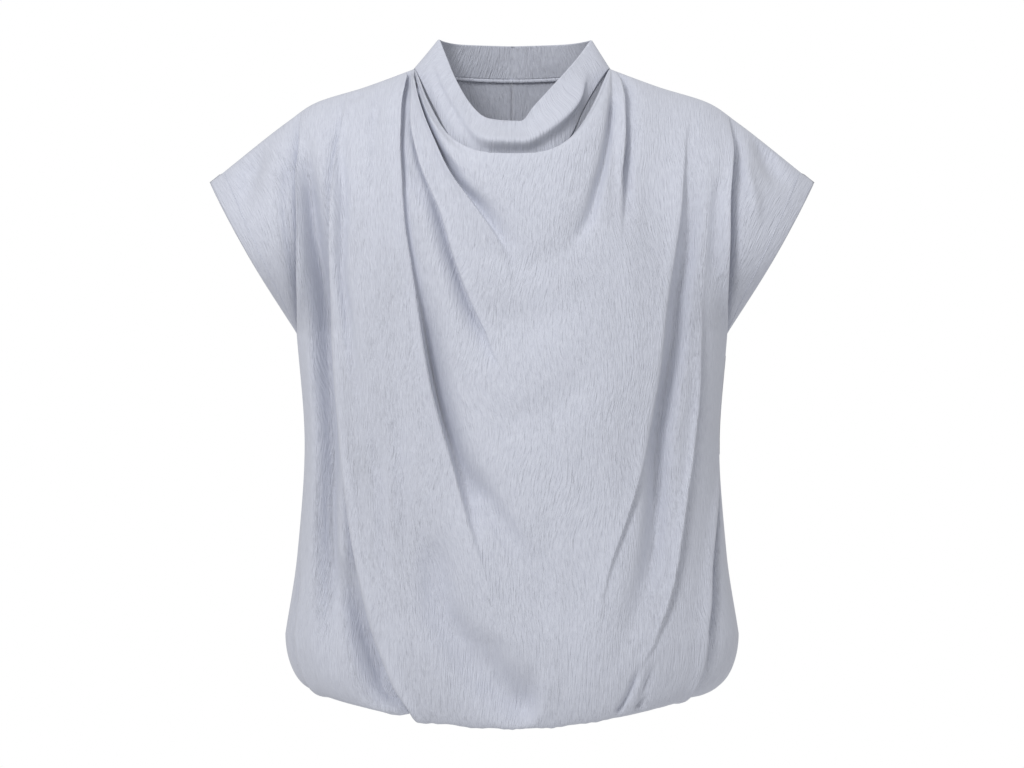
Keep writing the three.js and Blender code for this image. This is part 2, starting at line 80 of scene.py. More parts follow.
def smooth(low: float, high: float, value: np.ndarray | float) -> np.ndarray:
    """Rises smoothly from 0 at low to 1 at high.

    Args:
        low: the value where the rise starts.
        high: the value where it ends.
        value: where it is read.

    Returns:
        The height of the rise.
    """
    t = np.clip((value - low) / (high - low), 0.0, 1.0)
    return t * t * (3.0 - 2.0 * t)


def bell(distance: np.ndarray, width: float) -> np.ndarray:
    """A soft bump of height 1 that dies away over a few widths."""
    return np.exp(-((distance / width) ** 2))


def curve(xs: Sequence[float], ys: Sequence[float], value: np.ndarray) -> np.ndarray:
    """Reads a smooth curve through points that never swings past them.

    Args:
        xs: rising positions of the points.
        ys: their heights.
        value: where the curve is read.

    Returns:
        The heights of the curve.
    """
    x = np.asarray(xs, float)
    y = np.asarray(ys, float)
    rise = np.diff(y) / np.diff(x)
    slope = np.empty_like(y)
    slope[0], slope[-1] = rise[0], rise[-1]
    product = rise[:-1] * rise[1:]
    total = np.where(product > 0, rise[:-1] + rise[1:], 1.0)
    slope[1:-1] = np.where(product > 0, 2.0 * product / total, 0.0)
    i = np.clip(np.searchsorted(x, value) - 1, 0, len(x) - 2)
    width = x[i + 1] - x[i]
    t = np.clip((value - x[i]) / width, 0.0, 1.0)
    t2, t3 = t * t, t * t * t
    return (
        (2 * t3 - 3 * t2 + 1) * y[i]
        + (t3 - 2 * t2 + t) * width * slope[i]
        + (3 * t2 - 2 * t3) * y[i + 1]
        + (t3 - t2) * width * slope[i + 1]
    )


def unit(vectors: np.ndarray) -> np.ndarray:
    """Gives vectors of length 1 the same way as the given ones."""
    length = np.linalg.norm(vectors, axis=-1, keepdims=True)
    return vectors / np.maximum(length, 1e-9)


@dataclass(frozen=True)
class BodyForm:
    """The smooth form of the garment, in millimetres, before any fold.

    A point is named by its share of the half girth, -1 at the left side seam to 1 at the right one, and its
    level: 0 at the shoulders, 1 at the underarm, 2 at the hip and 3 at the casing inside the hem.
    """

    neck_half_width: float = 98.0
    neck_point_rise: float = 3.0
    neck_roundness: float = 0.95
    neck_share: float = 0.36
    front_neck_depth: float = 110.0
    front_neck_drop: float = 91.0
    front_neck_bow: tuple[float, float] = (2.8, 0.6)
    front_neck_sag: float = 3.2
    back_neck_depth: float = 68.0
    underarm_drop: float = 262.0
    hip_drop: float = 560.0
    hem_drop: float = 642.0
    hem_side_rise: float = 27.0
    ring_drops: tuple[float, ...] = (262.0, 373.0, 480.0, 560.0)
    ring_half_widths: tuple[float, ...] = (215.0, 207.0, 214.0, 226.0)
    ring_fronts: tuple[float, ...] = (124.0, 128.0, 130.0, 132.0)
    ring_backs: tuple[float, ...] = (104.0, 104.0, 108.0, 112.0)
    ring_power: float = 2.25
    ring_samples: int = 2001
    shoulder_shares: tuple[float, ...] = (0.36, 0.52, 0.66, 0.78, 1.0)
    shoulder_x: tuple[float, ...] = (98.0, 147.0, 197.0, 225.0, 302.0)
    shoulder_z: tuple[float, ...] = (3.0, -15.0, -31.0, -50.0, -111.0)
    shoulder_fall: float = 1.7
    tip_start: float = 0.85
    steepness: float = 0.62
    back_neck_steepness: float = 0.95
    back_neck_reach: tuple[float, float] = (0.25, 0.5)
    sleeve_belly: float = 54.0
    belly_powers: tuple[float, float] = (0.8, 1.25)
    hem_turn: float = math.radians(170.0)
    hem_inset_width: float = 61.0
    hem_inset_depth: float = 34.0
    hem_length: float = 130.0

    def quarter(self) -> tuple[np.ndarray, np.ndarray]:
        """Measures a quarter of the underarm ring.

        Returns:
            Angles over the quarter, and the distance along it at each.
        """
        angle = np.linspace(0.0, math.pi / 2, self.ring_samples)
        x = self.ring_half_widths[0] * np.sin(angle) ** (2 / self.ring_power)
        y = self.ring_fronts[0] * np.maximum(np.cos(angle), 0.0) ** (2 / self.ring_power)
        return angle, np.concatenate([[0.0], np.cumsum(np.hypot(np.diff(x), np.diff(y)))])

    @property
    def half_girth(self) -> float:
        """The distance round from the centre front to a side seam."""
        return float(self.quarter()[1][-1])

    def ring(
        self, share: np.ndarray, half_width: np.ndarray | float, depth: np.ndarray | float
    ) -> tuple[np.ndarray, np.ndarray]:
        """Reads a ring of the body, evenly round it.

        Args:
            share: share of the half girth.
            half_width: the ring's reach to each side.
            depth: its reach to the front or back.

        Returns:
            X, and the distance from the side plane, of each point.
        """
        angles, lengths = self.quarter()
        angle = np.interp(np.clip(np.abs(share), 0, 1) * lengths[-1], lengths, angles)
        x = np.sign(share) * half_width * np.sin(angle) ** (2 / self.ring_power)
        return x, depth * np.maximum(np.cos(angle), 0.0) ** (2 / self.ring_power)

    def top_edge(self, share: np.ndarray, side: Side) -> np.ndarray:
        """The upper edge of a panel: the neckline near the centre, then the shoulder and sleeve line.

        Args:
            share: share of the half girth.
            side: front or back.

        Returns:
            The points of the edge.
        """
        a = np.abs(share)
        x = curve(self.shoulder_shares, self.shoulder_x, a)
        z = curve(self.shoulder_shares, self.shoulder_z, a)
        across = np.sin(np.clip(a / self.neck_share, 0, 1) * math.pi / 2) ** self.neck_roundness
        if side is Side.FRONT:
            bow, flatness = self.front_neck_bow
            neck_y = -self.front_neck_depth * np.maximum(1 - across**bow, 0.0) ** flatness
            rise = self.front_neck_drop + self.neck_point_rise
            neck_z = -self.front_neck_drop + rise * across**self.front_neck_sag
        else:
            neck_y = self.back_neck_depth * np.sqrt(np.maximum(1 - across**2, 0.0))
            neck_z = self.neck_point_rise * across**2
        neck = a < self.neck_share
        x = np.sign(share) * np.where(neck, self.neck_half_width * across, x)
        return np.stack([x, np.where(neck, neck_y, 0.0), np.where(neck, neck_z, z)], axis=-1)

    def upper_part(self, share: np.ndarray, upper: np.ndarray, side: Side) -> np.ndarray:
        """Points between the top edge and the underarm, with the sleeve bowed out.

        Args:
            share: share of the half girth.
            upper: level, from 0 to 1.
            side: front or back.

        Returns:
            The points.
        """
        a = np.abs(share)
        sign = side.value
        depths = self.ring_fronts if side is Side.FRONT else self.ring_backs
        edge = self.top_edge(share, side)
        under_x, under_y = self.ring(share, self.ring_half_widths[0], depths[0])
        fall = self.shoulder_fall - (self.shoulder_fall - 1) * smooth(self.tip_start, 1.0, a)
        steepness = self.steepness
        if side is Side.BACK:
            calmer = smooth(*self.back_neck_reach, a)
            steepness = self.back_neck_steepness - (self.back_neck_steepness - self.steepness) * calmer
        inward = 1 - (1 - upper) ** fall
        outward = (1 - (1 - upper) ** 3) ** steepness
        belly = np.sin(math.pi * upper) ** np.where(upper < 0.5, *self.belly_powers)
        belly = self.sleeve_belly * belly * smooth(0.5, 1.0, a)
        return np.stack(
            [
                edge[..., 0] + (under_x - edge[..., 0]) * inward,
                edge[..., 1] + (sign * under_y - edge[..., 1]) * outward + sign * belly,
                edge[..., 2] + (-self.underarm_drop - edge[..., 2]) * upper,
            ],
            axis=-1,
        )

    def turned_hem(self, share: np.ndarray, below: np.ndarray, side: Side) -> np.ndarray:
        """Points of the hem, which bellies out and turns under into its casing.

        Args:
            share: share of the half girth.
            below: level below the hip, from 0 to 1.
            side: front or back.

        Returns:
            The points.
        """
        depths = self.ring_fronts if side is Side.FRONT else self.ring_backs
        turn = self.hem_turn * below
        inset = (1 - np.cos(turn)) / (1 - math.cos(self.hem_turn))
        half_width = self.ring_half_widths[-1] - self.hem_inset_width * inset
        x, y = self.ring(share, half_width, depths[-1] - self.hem_inset_depth * inset)
        bottom = self.hem_drop - self.hem_side_rise * np.sin(np.abs(share) * math.pi / 2) ** 2
        z = -self.hip_drop - (bottom - self.hip_drop) * np.sin(turn)
        return np.stack([x, side.value * y, z], axis=-1)

    def point(self, share: np.ndarray, level: np.ndarray, side: Side) -> np.ndarray:
        """Points of the smooth form.

        Args:
            share: share of the half girth.
            level: level down the garment.
            side: front or back.

        Returns:
            The points.
        """
        share, level = np.broadcast_arrays(np.asarray(share, float), np.asarray(level, float))
        depths = self.ring_fronts if side is Side.FRONT else self.ring_backs
        top = self.upper_part(share, np.clip(level, 0, 1), side)
        drop = self.underarm_drop + (self.hip_drop - self.underarm_drop) * np.clip(level - 1, 0, 1)
        half_width = curve(self.ring_drops, self.ring_half_widths, drop)
        body_x, body_y = self.ring(share, half_width, curve(self.ring_drops, depths, drop))
        body = np.stack([body_x, side.value * body_y, -drop], axis=-1)
        hem = self.turned_hem(share, np.clip(level - 2, 0, 1), side)
        at = level[..., None]
        return np.where(at <= 1, top, np.where(at <= 2, body, hem))

    def frame(self, share: np.ndarray, level: np.ndarray, side: Side) -> tuple[np.ndarray, np.ndarray]:
        """Reads which way the smooth form faces.

        Args:
            share: share of the half girth.
            level: level down the garment.
            side: front or back.

        Returns:
            The outward normal, and the way across it towards +X.
        """
        step = 0.003
        right = self.point(np.clip(share + step, -1, 1), level, side)
        left = self.point(np.clip(share - step, -1, 1), level, side)
        lower = self.point(share, np.clip(level + step, 0, 3), side)
        higher = self.point(share, np.clip(level - step, 0, 3), side)
        across = right - left
        down = lower - higher
        normal = np.cross(down, across) if side is Side.FRONT else np.cross(across, down)
        return unit(normal), unit(across)

    def level_at(self, share: float, drop: float, side: Side) -> float:
        """The level at which a column of the cloth has dropped so far below the origin.

        Args:
            share: the column's share of the half girth.
            drop: the drop below the origin.
            side: front or back.

        Returns:
            The level.
        """
        if drop > self.hip_drop:
            return 2 + (drop - self.hip_drop) / self.hem_length
        if drop > self.underarm_drop:
            return 1 + (drop - self.underarm_drop) / (self.hip_drop - self.underarm_drop)
        start = -float(self.top_edge(np.array(share), side)[2])
        return max((drop - start) / (self.underarm_drop - start), 0.0)

    def drop(self, share: np.ndarray, level: np.ndarray, side: Side) -> np.ndarray:
        """Drop below the origin, counted on round the turned hem."""
        plain = -self.point(share, np.minimum(level, 2), side)[..., 2]
        return np.where(level <= 2, plain, self.hip_drop + self.hem_length * (level - 2))


@dataclass(frozen=True)
class Pleat:
    """A crisp fold, which the columns of the cloth follow if it guides them.

    Each station is (drop below the origin, distance round from the centre line, strength), in millimetres
    and as a share of the pleat's full depth.
    """

    name: str
    hollow: Hand
    depth: float
    width: float
    lip: float
    overhang: float
    stations: tuple[tuple[float, float, float], ...]
    edge: float = 2.6
    guides_columns: bool = True
    lip_share: float = 0.6
    lean_reach: float = 4.5
    undercut: float = 0.25
    level_step: float = 0.01

    def line(self, form: BodyForm, side: Side, level: np.ndarray) -> tuple[np.ndarray, np.ndarray]:
        """Reads where the crisp line runs, and how strong it is.

        Args:
            form: the smooth form under the cloth.
            side: front or back.
            level: the levels at which it is read.

        Returns:
            Distance round from the centre line, and strength, at each level.
        """
        levels: list[float] = []
        for drop, around, _ in self.stations:
            at = form.level_at(around / form.half_girth, drop, side)
            if levels and at <= levels[-1]:
                at = levels[-1] + self.level_step
            levels.append(at)
        _, rounds, strengths = zip(*self.stations)
        level = np.clip(level, levels[0], levels[-1])
        return curve(levels, rounds, level), curve(levels, strengths, level)

    def relief(
        self, around: np.ndarray, line: np.ndarray, strength: np.ndarray
    ) -> tuple[np.ndarray, np.ndarray]:
        """Height of the cloth over the smooth form, and its shift across towards +X.

        Args:
            around: distance round from the centre line of each point.
            line: where the crisp line runs in each row.
            strength: the pleat's strength in each row.

        Returns:
            Height and shift, in millimetres.
        """
        across = (around - line) * self.hollow.value
        inside = np.maximum(across, 0.0)
        outside = np.minimum(across, 0.0)
        fall = smooth(0.0, self.edge, inside)
        hollow = -self.depth * fall * bell(inside, self.width)
        lip = self.lip * bell(outside, self.lip_share * self.width)
        lip = lip * (1 - smooth(0.0, 2 * self.edge, inside))
        lean = 1 - (1 + self.undercut) * fall + self.undercut * smooth(self.edge, 4 * self.edge, inside)
        lean = lean * bell(outside, self.lean_reach)
        return strength * (hollow + lip), strength * self.overhang * self.hollow.value * lean


@dataclass(frozen=True)
class SoftFold:
    """A soft hollow or ridge along a path of (distance round, drop) points, in millimetres."""

    name: str
    height: float
    width: float
    path: tuple[tuple[float, float], ...]
    fade_in: float = 0.3
    fade_out: float = 0.3
    steps: int = 8

    def line(self) -> np.ndarray:
        """Rounds the path off into short straight steps.

        Returns:
            The points of the rounded path.
        """
        knots = tuple(range(len(self.path)))
        fine = np.linspace(0, len(self.path) - 1, (len(self.path) - 1) * self.steps + 1)
        return np.stack([curve(knots, column, fine) for column in zip(*self.path)], axis=-1)

    def relief(self, around: np.ndarray, drop: np.ndarray) -> np.ndarray:
        """Height of the cloth over the smooth form.

        Args:
            around: distance round from the centre line of each point.
            drop: its drop below the origin.

        Returns:
            The height at each point.
        """
        line = self.line()
        nearest = np.full(around.shape, np.inf)
        travelled = np.zeros(around.shape)
        for i, (start, end) in enumerate(zip(line[:-1], line[1:])):
            dx, dy = end - start
            t = np.clip(((around - start[0]) * dx + (drop - start[1]) * dy) / (dx * dx + dy * dy), 0, 1)
            distance = np.hypot(around - start[0] - t * dx, drop - start[1] - t * dy)
            closer = distance < nearest
            nearest = np.where(closer, distance, nearest)
            travelled = np.where(closer, (i + t) / (len(line) - 1), travelled)
        fade = smooth(0.0, self.fade_in, travelled) * (1 - smooth(1 - self.fade_out, 1.0, travelled))
        return self.height * fade * bell(nearest, self.width)


def fold(
    name: str,
    height: float,
    width: float,
    *path: tuple[float, float],
    ends: tuple[float, float] = (0.3, 0.3),
) -> SoftFold:
    """Reads a row of a table of soft folds, whose ends are the shares of its length over which it fades."""
    return SoftFold(name, height, width, path, *ends)


# Each row: name, side of the hollow, depth, width, lip, overhang, stations, and the width of the crisp edge.
FRONT_PLEATS: tuple[Pleat, ...] = (
    Pleat("left sleeve", Hand.LEFT, 20, 15, 5, 2.5, (
        (40, -197, 0.1), (83, -206, 0.6), (104, -211, 0.9), (163, -218, 1), (230, -233, 1),
        (263, -245, 0.8), (330, -251, 0.2), (420, -247, 0.1), (470, -243, 0.3), (515, -228, 0.5),
        (600, -222, 0.4), (690, -222, 0)), 1.6),
    Pleat("left long", Hand.LEFT, 21, 14, 5, 3.0, (
        (20, -155, 0), (64, -162, 0.3), (115, -171, 0.6), (192, -179, 0.9), (250, -181, 1), (308, -182, 1),
        (366, -179, 1), (424, -168, 1), (481, -153, 1), (529, -137, 1), (564, -122, 1), (589, -108, 1),
        (607, -98, 0.8), (690, -92, 0.2)), 1.8),
    Pleat("left neck", Hand.RIGHT, 11, 5, 4, 2.6, (
        (5, -107, 1), (44, -111, 1), (76, -111, 1), (116, -109, 1), (155, -106, 1), (203, -98, 0.9),
        (242, -92, 0.9), (280, -87, 1), (313, -82, 1), (346, -74, 0.9), (374, -65, 0.6), (422, -50, 0.2),
        (470, -35, 0), (517, -20, 0), (555, -4, 0), (579, 12, 0), (600, 20, 0), (690, 24, 0)), 1.6),
    Pleat("left neck foot", Hand.RIGHT, 27, 18, 0, 0, (
        (180, -102, 0), (203, -98, 0.1), (242, -92, 0.45), (280, -87, 0.85), (313, -82, 1), (346, -74, 1),
        (374, -65, 0.9), (422, -50, 0.6), (470, -35, 0.15), (517, -20, 0), (690, -20, 0)), 5.0, False),
    Pleat("second neck", Hand.LEFT, 13, 12, 4, 2.2, (
        (18, -99.54, 0.5), (50, -97, 0.9), (97, -83, 1), (146, -62, 1), (194, -50, 1), (241, -34, 0.8),
        (280, -18, 0.3), (308, -6, 0), (400, 0, 0), (555, 14, 0), (600, 32, 0), (690, 34, 0)), 2.0),
    Pleat("third neck", Hand.RIGHT, 22, 15, 4, 2.6, (
        (7, -91, 1), (32, -80, 1), (57, -69, 1), (74, -61, 1), (102, -50, 1), (132, -34, 0.8),
        (151, -24, 0.6), (170, -14, 0.35), (189, -6, 0.1), (262, 4, 0), (400, 14, 0), (555, 28, 0),
        (600, 40, 0), (690, 42, 0))),
    Pleat("right neck", Hand.RIGHT, 16, 10, 3, 2.4, (
        (6, 104, 1), (15, 107, 1), (34, 109, 1), (66, 109, 1), (91, 107, 1), (111, 105, 0.9),
        (141, 106, 0.3), (180, 106, 0), (262, 98, 0), (400, 80, 0), (560, 62, 0), (690, 56, 0))),
    Pleat("right long", Hand.RIGHT, 6, 12, 4, 2.0, (
        (40, 166, 0), (53, 165, 0.05), (68, 164, 0.2), (104, 164, 0.5), (144, 163, 0.8), (183, 159, 1),
        (221, 154, 1), (260, 149, 1), (299, 147, 1), (337, 142, 1), (375, 135, 0.9), (413, 123, 0.8),
        (451, 108, 0.6), (485, 94, 0.4), (518, 85, 0.2), (556, 78, 0), (690, 72, 0)), 2.2),
    Pleat("right ridge", Hand.RIGHT, 4, 9, 8, 1.5, (
        (40, 186, 0), (150, 194, 0), (231, 196, 0.1), (269, 195, 0.5), (328, 197, 1), (376, 192, 1),
        (424, 180, 1), (462, 170, 1), (491, 162, 0.9), (520, 151, 0.7), (557, 133, 0.3), (576, 119, 0.1),
        (620, 106, 0), (690, 100, 0)), 1.8),
    Pleat("right sleeve", Hand.RIGHT, 19, 14, 5, 2.5, (
        (50, 206, 0.2), (83, 213, 0.8), (124, 215, 1), (163, 221, 1), (230, 235, 1), (259, 247, 0.8),
        (330, 251, 0.3), (392, 249, 0.5), (445, 226, 1), (484, 211, 1), (522, 201, 1), (560, 190, 0.6),
        (600, 188, 0.2), (690, 188, 0)), 1.6),
)

# Each row: name, height (below 0 for a hollow), width, and the (distance round, drop) points of its path.
FRONT_FOLDS: tuple[SoftFold, ...] = (
    fold("left hollow", -32, 13, (-196, 30), (-200, 110), (-200, 158), (-199, 193), (-198, 250),
         (-201, 328), (-197, 425), (-186, 502), (-174, 559), (-166, 592), ends=(0.18, 0.3)),
    fold("left inner", -9, 5.5, (-150, 30), (-163, 84), (-164, 134), (-169, 202), (-165, 241), (-161, 279),
         (-155, 328), (-142, 395), ends=(0.15, 0.5)),
    fold("second neck", -9, 10, (-106, 60), (-99, 106), (-79, 131), (-67, 150), (-60, 174), (-50, 208),
         (-43, 232), (-34, 256), (-23, 280), (-12, 299), ends=(0.2, 0.3)),
    fold("roll edge", -13, 3.5, (-90, 8), (-83, 12), (-71, 24), (-65, 37), (-58, 49), (-48, 63), (-39, 76),
         (-30, 87), (-19, 94), ends=(0.05, 0.35)),
    fold("cowl sag", -3, 17, (-24, 146), (-9, 182), (16, 196), (40, 190), (60, 165), (72, 135),
         ends=(0.3, 0.2)),
    fold("right neck valley", -12, 7, (100, 24), (91, 66), (83, 102), (76, 126), (70, 151), (59, 170),
         (46, 192), ends=(0.1, 0.5)),
    fold("right neck ridge", 2.5, 4, (115, 34), (116, 66), (119, 106), (123, 145), (124, 174),
         ends=(0.1, 0.4)),
    fold("right hollow", -26, 11.5, (176, 60), (174, 104), (175, 144), (173, 183), (167, 231), (165, 269),
         (159, 318), (152, 366), (149, 404), (145, 442), (138, 480), (128, 509), (114, 538), (98, 566),
         (84, 588), ends=(0.4, 0.45)),
    fold("great drape inner", -4, 20, (-26, 442), (-7, 470), (16, 505), (44, 530), (80, 530),
         ends=(0.4, 0.5)),
    fold("lower left", -22, 17, (-96, 390), (-83, 451), (-76, 480), (-70, 518), (-49, 556), (-26, 575),
         (1, 590), (29, 602), ends=(0.4, 0.1)),
    fold("left neck trail", -13, 12, (-52, 366), (-38, 404), (-24, 426), (-6, 454), (14, 480), (36, 506),
         ends=(0.3, 0.6)),
    fold("great drape", 5, 12, (-50, 422), (-35, 470), (-20, 517), (-2, 555), (22, 579), (60, 590),
         ends=(0.3, 0.4)),
    fold("left front first", -6, 7, (-150, 300), (-140, 360), (-132, 420), (-124, 480), (-112, 530),
         ends=(0.4, 0.4)),
    fold("left front second", -6, 8, (-118, 300), (-114, 360), (-110, 420), (-104, 480), (-96, 540),
         ends=(0.4, 0.4)),
    fold("lower left outer", -34, 12, (-172, 470), (-165, 501), (-145, 548), (-134, 570), (-126, 591),
         (-118, 612), ends=(0.35, 0.1)),
    fold("left sleeve soft", -13, 6, (-235, 69), (-241, 82), (-246, 96), (-251, 105), (-256, 120),
         (-261, 134), (-266, 148), ends=(0.4, 0.4)),
    fold("left sleeve second", -7, 5, (-221, 70), (-223, 98), (-231, 134), (-236, 173), (-242, 221)),
    fold("right sleeve soft", -12, 6, (226, 62), (236, 75), (243, 88), (249, 100), (256, 112), (262, 126),
         ends=(0.4, 0.4)),
    fold("right sleeve ridge", 6, 4, (226, 84), (231, 103), (243, 133), (252, 163)),
    fold("right hem gather first", -6, 3, (134, 570), (127, 591), (127, 612), ends=(0.3, 0.1)),
    fold("right hem gather second", -6, 3, (119, 572), (111, 593), (105, 612), ends=(0.3, 0.1)),
    fold("right underarm", -5, 9, (200, 100), (204, 163), (212, 230)),
    fold("upper drape", -4, 22, (-55, 210), (-25, 245), (8, 254), (50, 236), (86, 190), ends=(0.4, 0.4)),
    fold("lower drape", -4, 20, (-42, 300), (0, 348), (52, 326), (98, 252), ends=(0.4, 0.4)),
    fold("left shoulder first", -3, 4, (-121, 14), (-131, 30), (-134, 48), (-134, 66)),
    fold("left shoulder second", -3, 4, (-128, 30), (-134, 60), (-135, 100), (-136, 140)),
    fold("left shoulder third", -3, 4, (-146, 22), (-154, 34)),
)

BACK_FOLDS: tuple[SoftFold, ...] = (
    fold("left yoke", -11, 18, (-118, 30), (-112, 130), (-104, 250), (-108, 380), (-120, 500),
         ends=(0.2, 0.4)),
    fold("left side", -14, 15, (-190, 120), (-196, 240), (-188, 370), (-200, 500), (-205, 590)),
    fold("left inner", -10, 16, (-48, 190), (-56, 320), (-62, 450), (-50, 600)),
    fold("left low", -12, 14, (-152, 380), (-158, 470), (-146, 600), ends=(0.4, 0.1)),
    fold("right yoke", -12, 19, (122, 34), (110, 140), (112, 260), (98, 380), (94, 470), ends=(0.2, 0.4)),
    fold("right side", -13, 16, (186, 110), (194, 230), (200, 350), (192, 480), (208, 580)),
    fold("right inner", -10, 15, (44, 260), (38, 400), (52, 520), (46, 610)),
    fold("right low", -12, 14, (148, 330), (140, 450), (156, 600), ends=(0.3, 0.1)),
    fold("left neck tension", -5, 7, (-84, 12), (-66, 50), (-44, 110)),
    fold("right neck tension", -4.5, 8, (86, 14), (70, 60), (50, 104)),
)


@dataclass(frozen=True)
class Ripple:
    """A slight wave round the body, in millimetres, whose crests run down the cloth and drift sideways."""

    height: float
    radius: float
    drift: float
    drift_radius: float
    drift_start: float = 0.0
    start: float = 0.0
    wander: float = 0.0
    wander_radius: float = 1.0

    def relief(self, around: np.ndarray, drop: np.ndarray) -> np.ndarray:
        """Height of the wave.

        Args:
            around: distance round from the centre line of each point.
            drop: its drop below the origin.

        Returns:
            The height at each point.
        """
        drifting = self.drift * np.sin(drop / self.drift_radius + self.drift_start)
        wandering = self.wander * np.sin(around / self.wander_radius)
        return self.height * np.sin(around / self.radius + drifting + wandering + self.start)


@dataclass(frozen=True)
class Gathers:
    """Gathers at the hem, their crests unevenly spaced, in millimetres and levels."""

    pitch: float
    depth: float
    wander: float
    wander_radius: float
    start: float
    full: float

    def crest(self, around: np.ndarray) -> np.ndarray:
        """The run of the crests round the body, from -1 to 1."""
        return np.cos(2 * math.pi * around / self.pitch + self.wander * np.sin(around / self.wander_radius))

    def strength(self, level: np.ndarray) -> np.ndarray:
        """How deep the gathers are at each level."""
        return self.depth * smooth(self.start, self.full, level)


@dataclass(frozen=True)
class Drape:
    """All folds of one side of the garment, dying away at its seams."""

    form: BodyForm
    side: Side
    pleats: tuple[Pleat, ...]
    folds: tuple[SoftFold, ...]
    deepest: float = -50.0
    highest: float = 14.0
    seam_flat: float = 16.0
    shoulder_flat: float = 8.0
    neck_flat: tuple[float, float] = (0.55, 0.85)
    open_edge: float = 0.1
    seam_dip: float = 0.7
    seam_dip_width: float = 1.4
    neck_depth: float = 0.55
    neck_clear: float = 9.0
    neck_reach: float = 0.06
    hang: float = 0.8
    hang_end: tuple[float, float] = (2.1, 2.6)
    wide_gathers: Gathers = Gathers(46.0, 3.0, 0.6, 61.0, 2.35, 3.0)
    fine_gathers: Gathers = Gathers(11.0, 1.2, 1.3, 23.0, 2.3, 2.9)
    side_calm: float = 0.8
    side_calm_shares: tuple[float, float] = (0.55, 0.85)
    ripple_depth: float = 0.6
    first_ripple: Ripple = Ripple(0.6, 6.1, 2.2, 83.0, wander=0.9, wander_radius=37.0)
    second_ripple: Ripple = Ripple(0.4, 3.9, -1.7, 57.0, drift_start=1.0, start=2.0)
    patch_radius: float = 41.0
    patch_length: float = 67.0
    patch_drift: float = 1.3
    patch_drift_length: float = 91.0

    def relief(self, share: np.ndarray, level: np.ndarray) -> tuple[np.ndarray, np.ndarray]:
        """Adds up all folds.

        Args:
            share: share of the half girth of each point.
            level: its level down the garment.

        Returns:
            Height over the smooth form and shift across it, in millimetres.
        """
        form = self.form
        around = share * form.half_girth
        drop = form.drop(share, level, self.side)
        height = np.zeros(around.shape)
        shift = np.zeros(around.shape)
        for pleat in self.pleats:
            line, strength = pleat.line(form, self.side, level)
            up, over = pleat.relief(around, line, strength)
            height += up
            shift += over
        for soft in self.folds:
            height += soft.relief(around, drop)
        height = np.clip(height, self.deepest, self.highest)
        height += self.gathers(around, level) + self.ripples(around, drop)
        flat = self.flatness(share, level, drop)
        height = np.where(height < 0, height * self.neck_room(share, drop), height)
        return height * flat - self.dip(share, level), shift * flat

    def neck_room(self, share: np.ndarray, drop: np.ndarray) -> np.ndarray:
        """How much of a hollow's depth there is room for in front of the collar band.

        Args:
            share: share of the half girth of each point.
            drop: its drop below the origin.

        Returns:
            The share of the depth that is left.
        """
        below = drop + self.form.top_edge(share, self.side)[..., 2]
        near = 1 - smooth(0.0, self.neck_reach, np.abs(share) - self.form.neck_share)
        return 1 - near * (1 - self.neck_depth) * (1 - smooth(self.neck_clear, 2 * self.neck_clear, below))

    def gathers(self, around: np.ndarray, level: np.ndarray) -> np.ndarray:
        """Gathers into the casing under the hem, calmer at the side seams.

        Args:
            around: distance round from the centre line of each point.
            level: its level down the garment.

        Returns:
            Their height.
        """
        wide = self.wide_gathers.crest(around)
        fine = self.fine_gathers.crest(around) * (0.6 + 0.4 * wide)
        height = self.wide_gathers.strength(level) * wide + self.fine_gathers.strength(level) * fine
        to_side = smooth(*self.side_calm_shares, np.abs(around) / self.form.half_girth)
        return height * (1 - self.side_calm * to_side)

    def ripples(self, around: np.ndarray, drop: np.ndarray) -> np.ndarray:
        """Slight long ripples that no ironing takes out of the crepe, in uneven patches.

        Args:
            around: distance round from the centre line of each point.
            drop: its drop below the origin.

        Returns:
            Their height.
        """
        drift = self.patch_drift * np.sin(drop / self.patch_drift_length)
        patch = 0.5 + 0.5 * np.sin(around / self.patch_radius + drop / self.patch_length + drift)
        both = self.first_ripple.relief(around, drop) + self.second_ripple.relief(around, drop)
        return self.ripple_depth * patch * both

    def flatness(self, share: np.ndarray, level: np.ndarray, drop: np.ndarray) -> np.ndarray:
        """How much of a fold is left near the seams.

        Args:
            share: share of the half girth of each point.
            level: its level down the garment.
            drop: its drop below the origin.

        Returns:
            From 0 on a seam to 1 away from it.
        """
        form = self.form
        a = np.abs(share)
        to_side = smooth(0.0, self.seam_flat, (1 - a) * form.half_girth)
        armhole = smooth(1.0, 1 - self.open_edge, level) * smooth(0.0, self.open_edge, level)
        to_side = np.where(level >= 1, to_side, np.maximum(to_side, armhole))
        to_top = smooth(0.0, self.shoulder_flat, drop + form.top_edge(share, self.side)[..., 2])
        if self.side is Side.FRONT:
            to_top = np.maximum(to_top, 1 - smooth(*self.neck_flat, a / form.neck_share))
            return to_side * to_top
        return to_side * to_top * smooth(0.0, self.seam_flat, a * form.half_girth)

    def dip(self, share: np.ndarray, level: np.ndarray) -> np.ndarray:
        """How far the sewn edges sink at a seam.

        Args:
            share: share of the half girth of each point.
            level: its level down the garment.

        Returns:
            The depth of the dip, in millimetres.
        """
        form = self.form
        a = np.abs(share)
        far, underarm_level, shoulder_level = 99.0, 0.97, 0.2
        edge = np.where(level >= underarm_level, (1 - a) * form.half_girth, far)
        if self.side is Side.BACK:
            edge = np.minimum(edge, a * form.half_girth)
        below = level * (form.underarm_drop + form.top_edge(share, self.side)[..., 2])
        by_shoulder = (a >= form.neck_share) & (level < shoulder_level)
        edge = np.where(by_shoulder, np.minimum(edge, below), edge)
        return self.seam_dip * bell(edge, self.seam_dip_width)

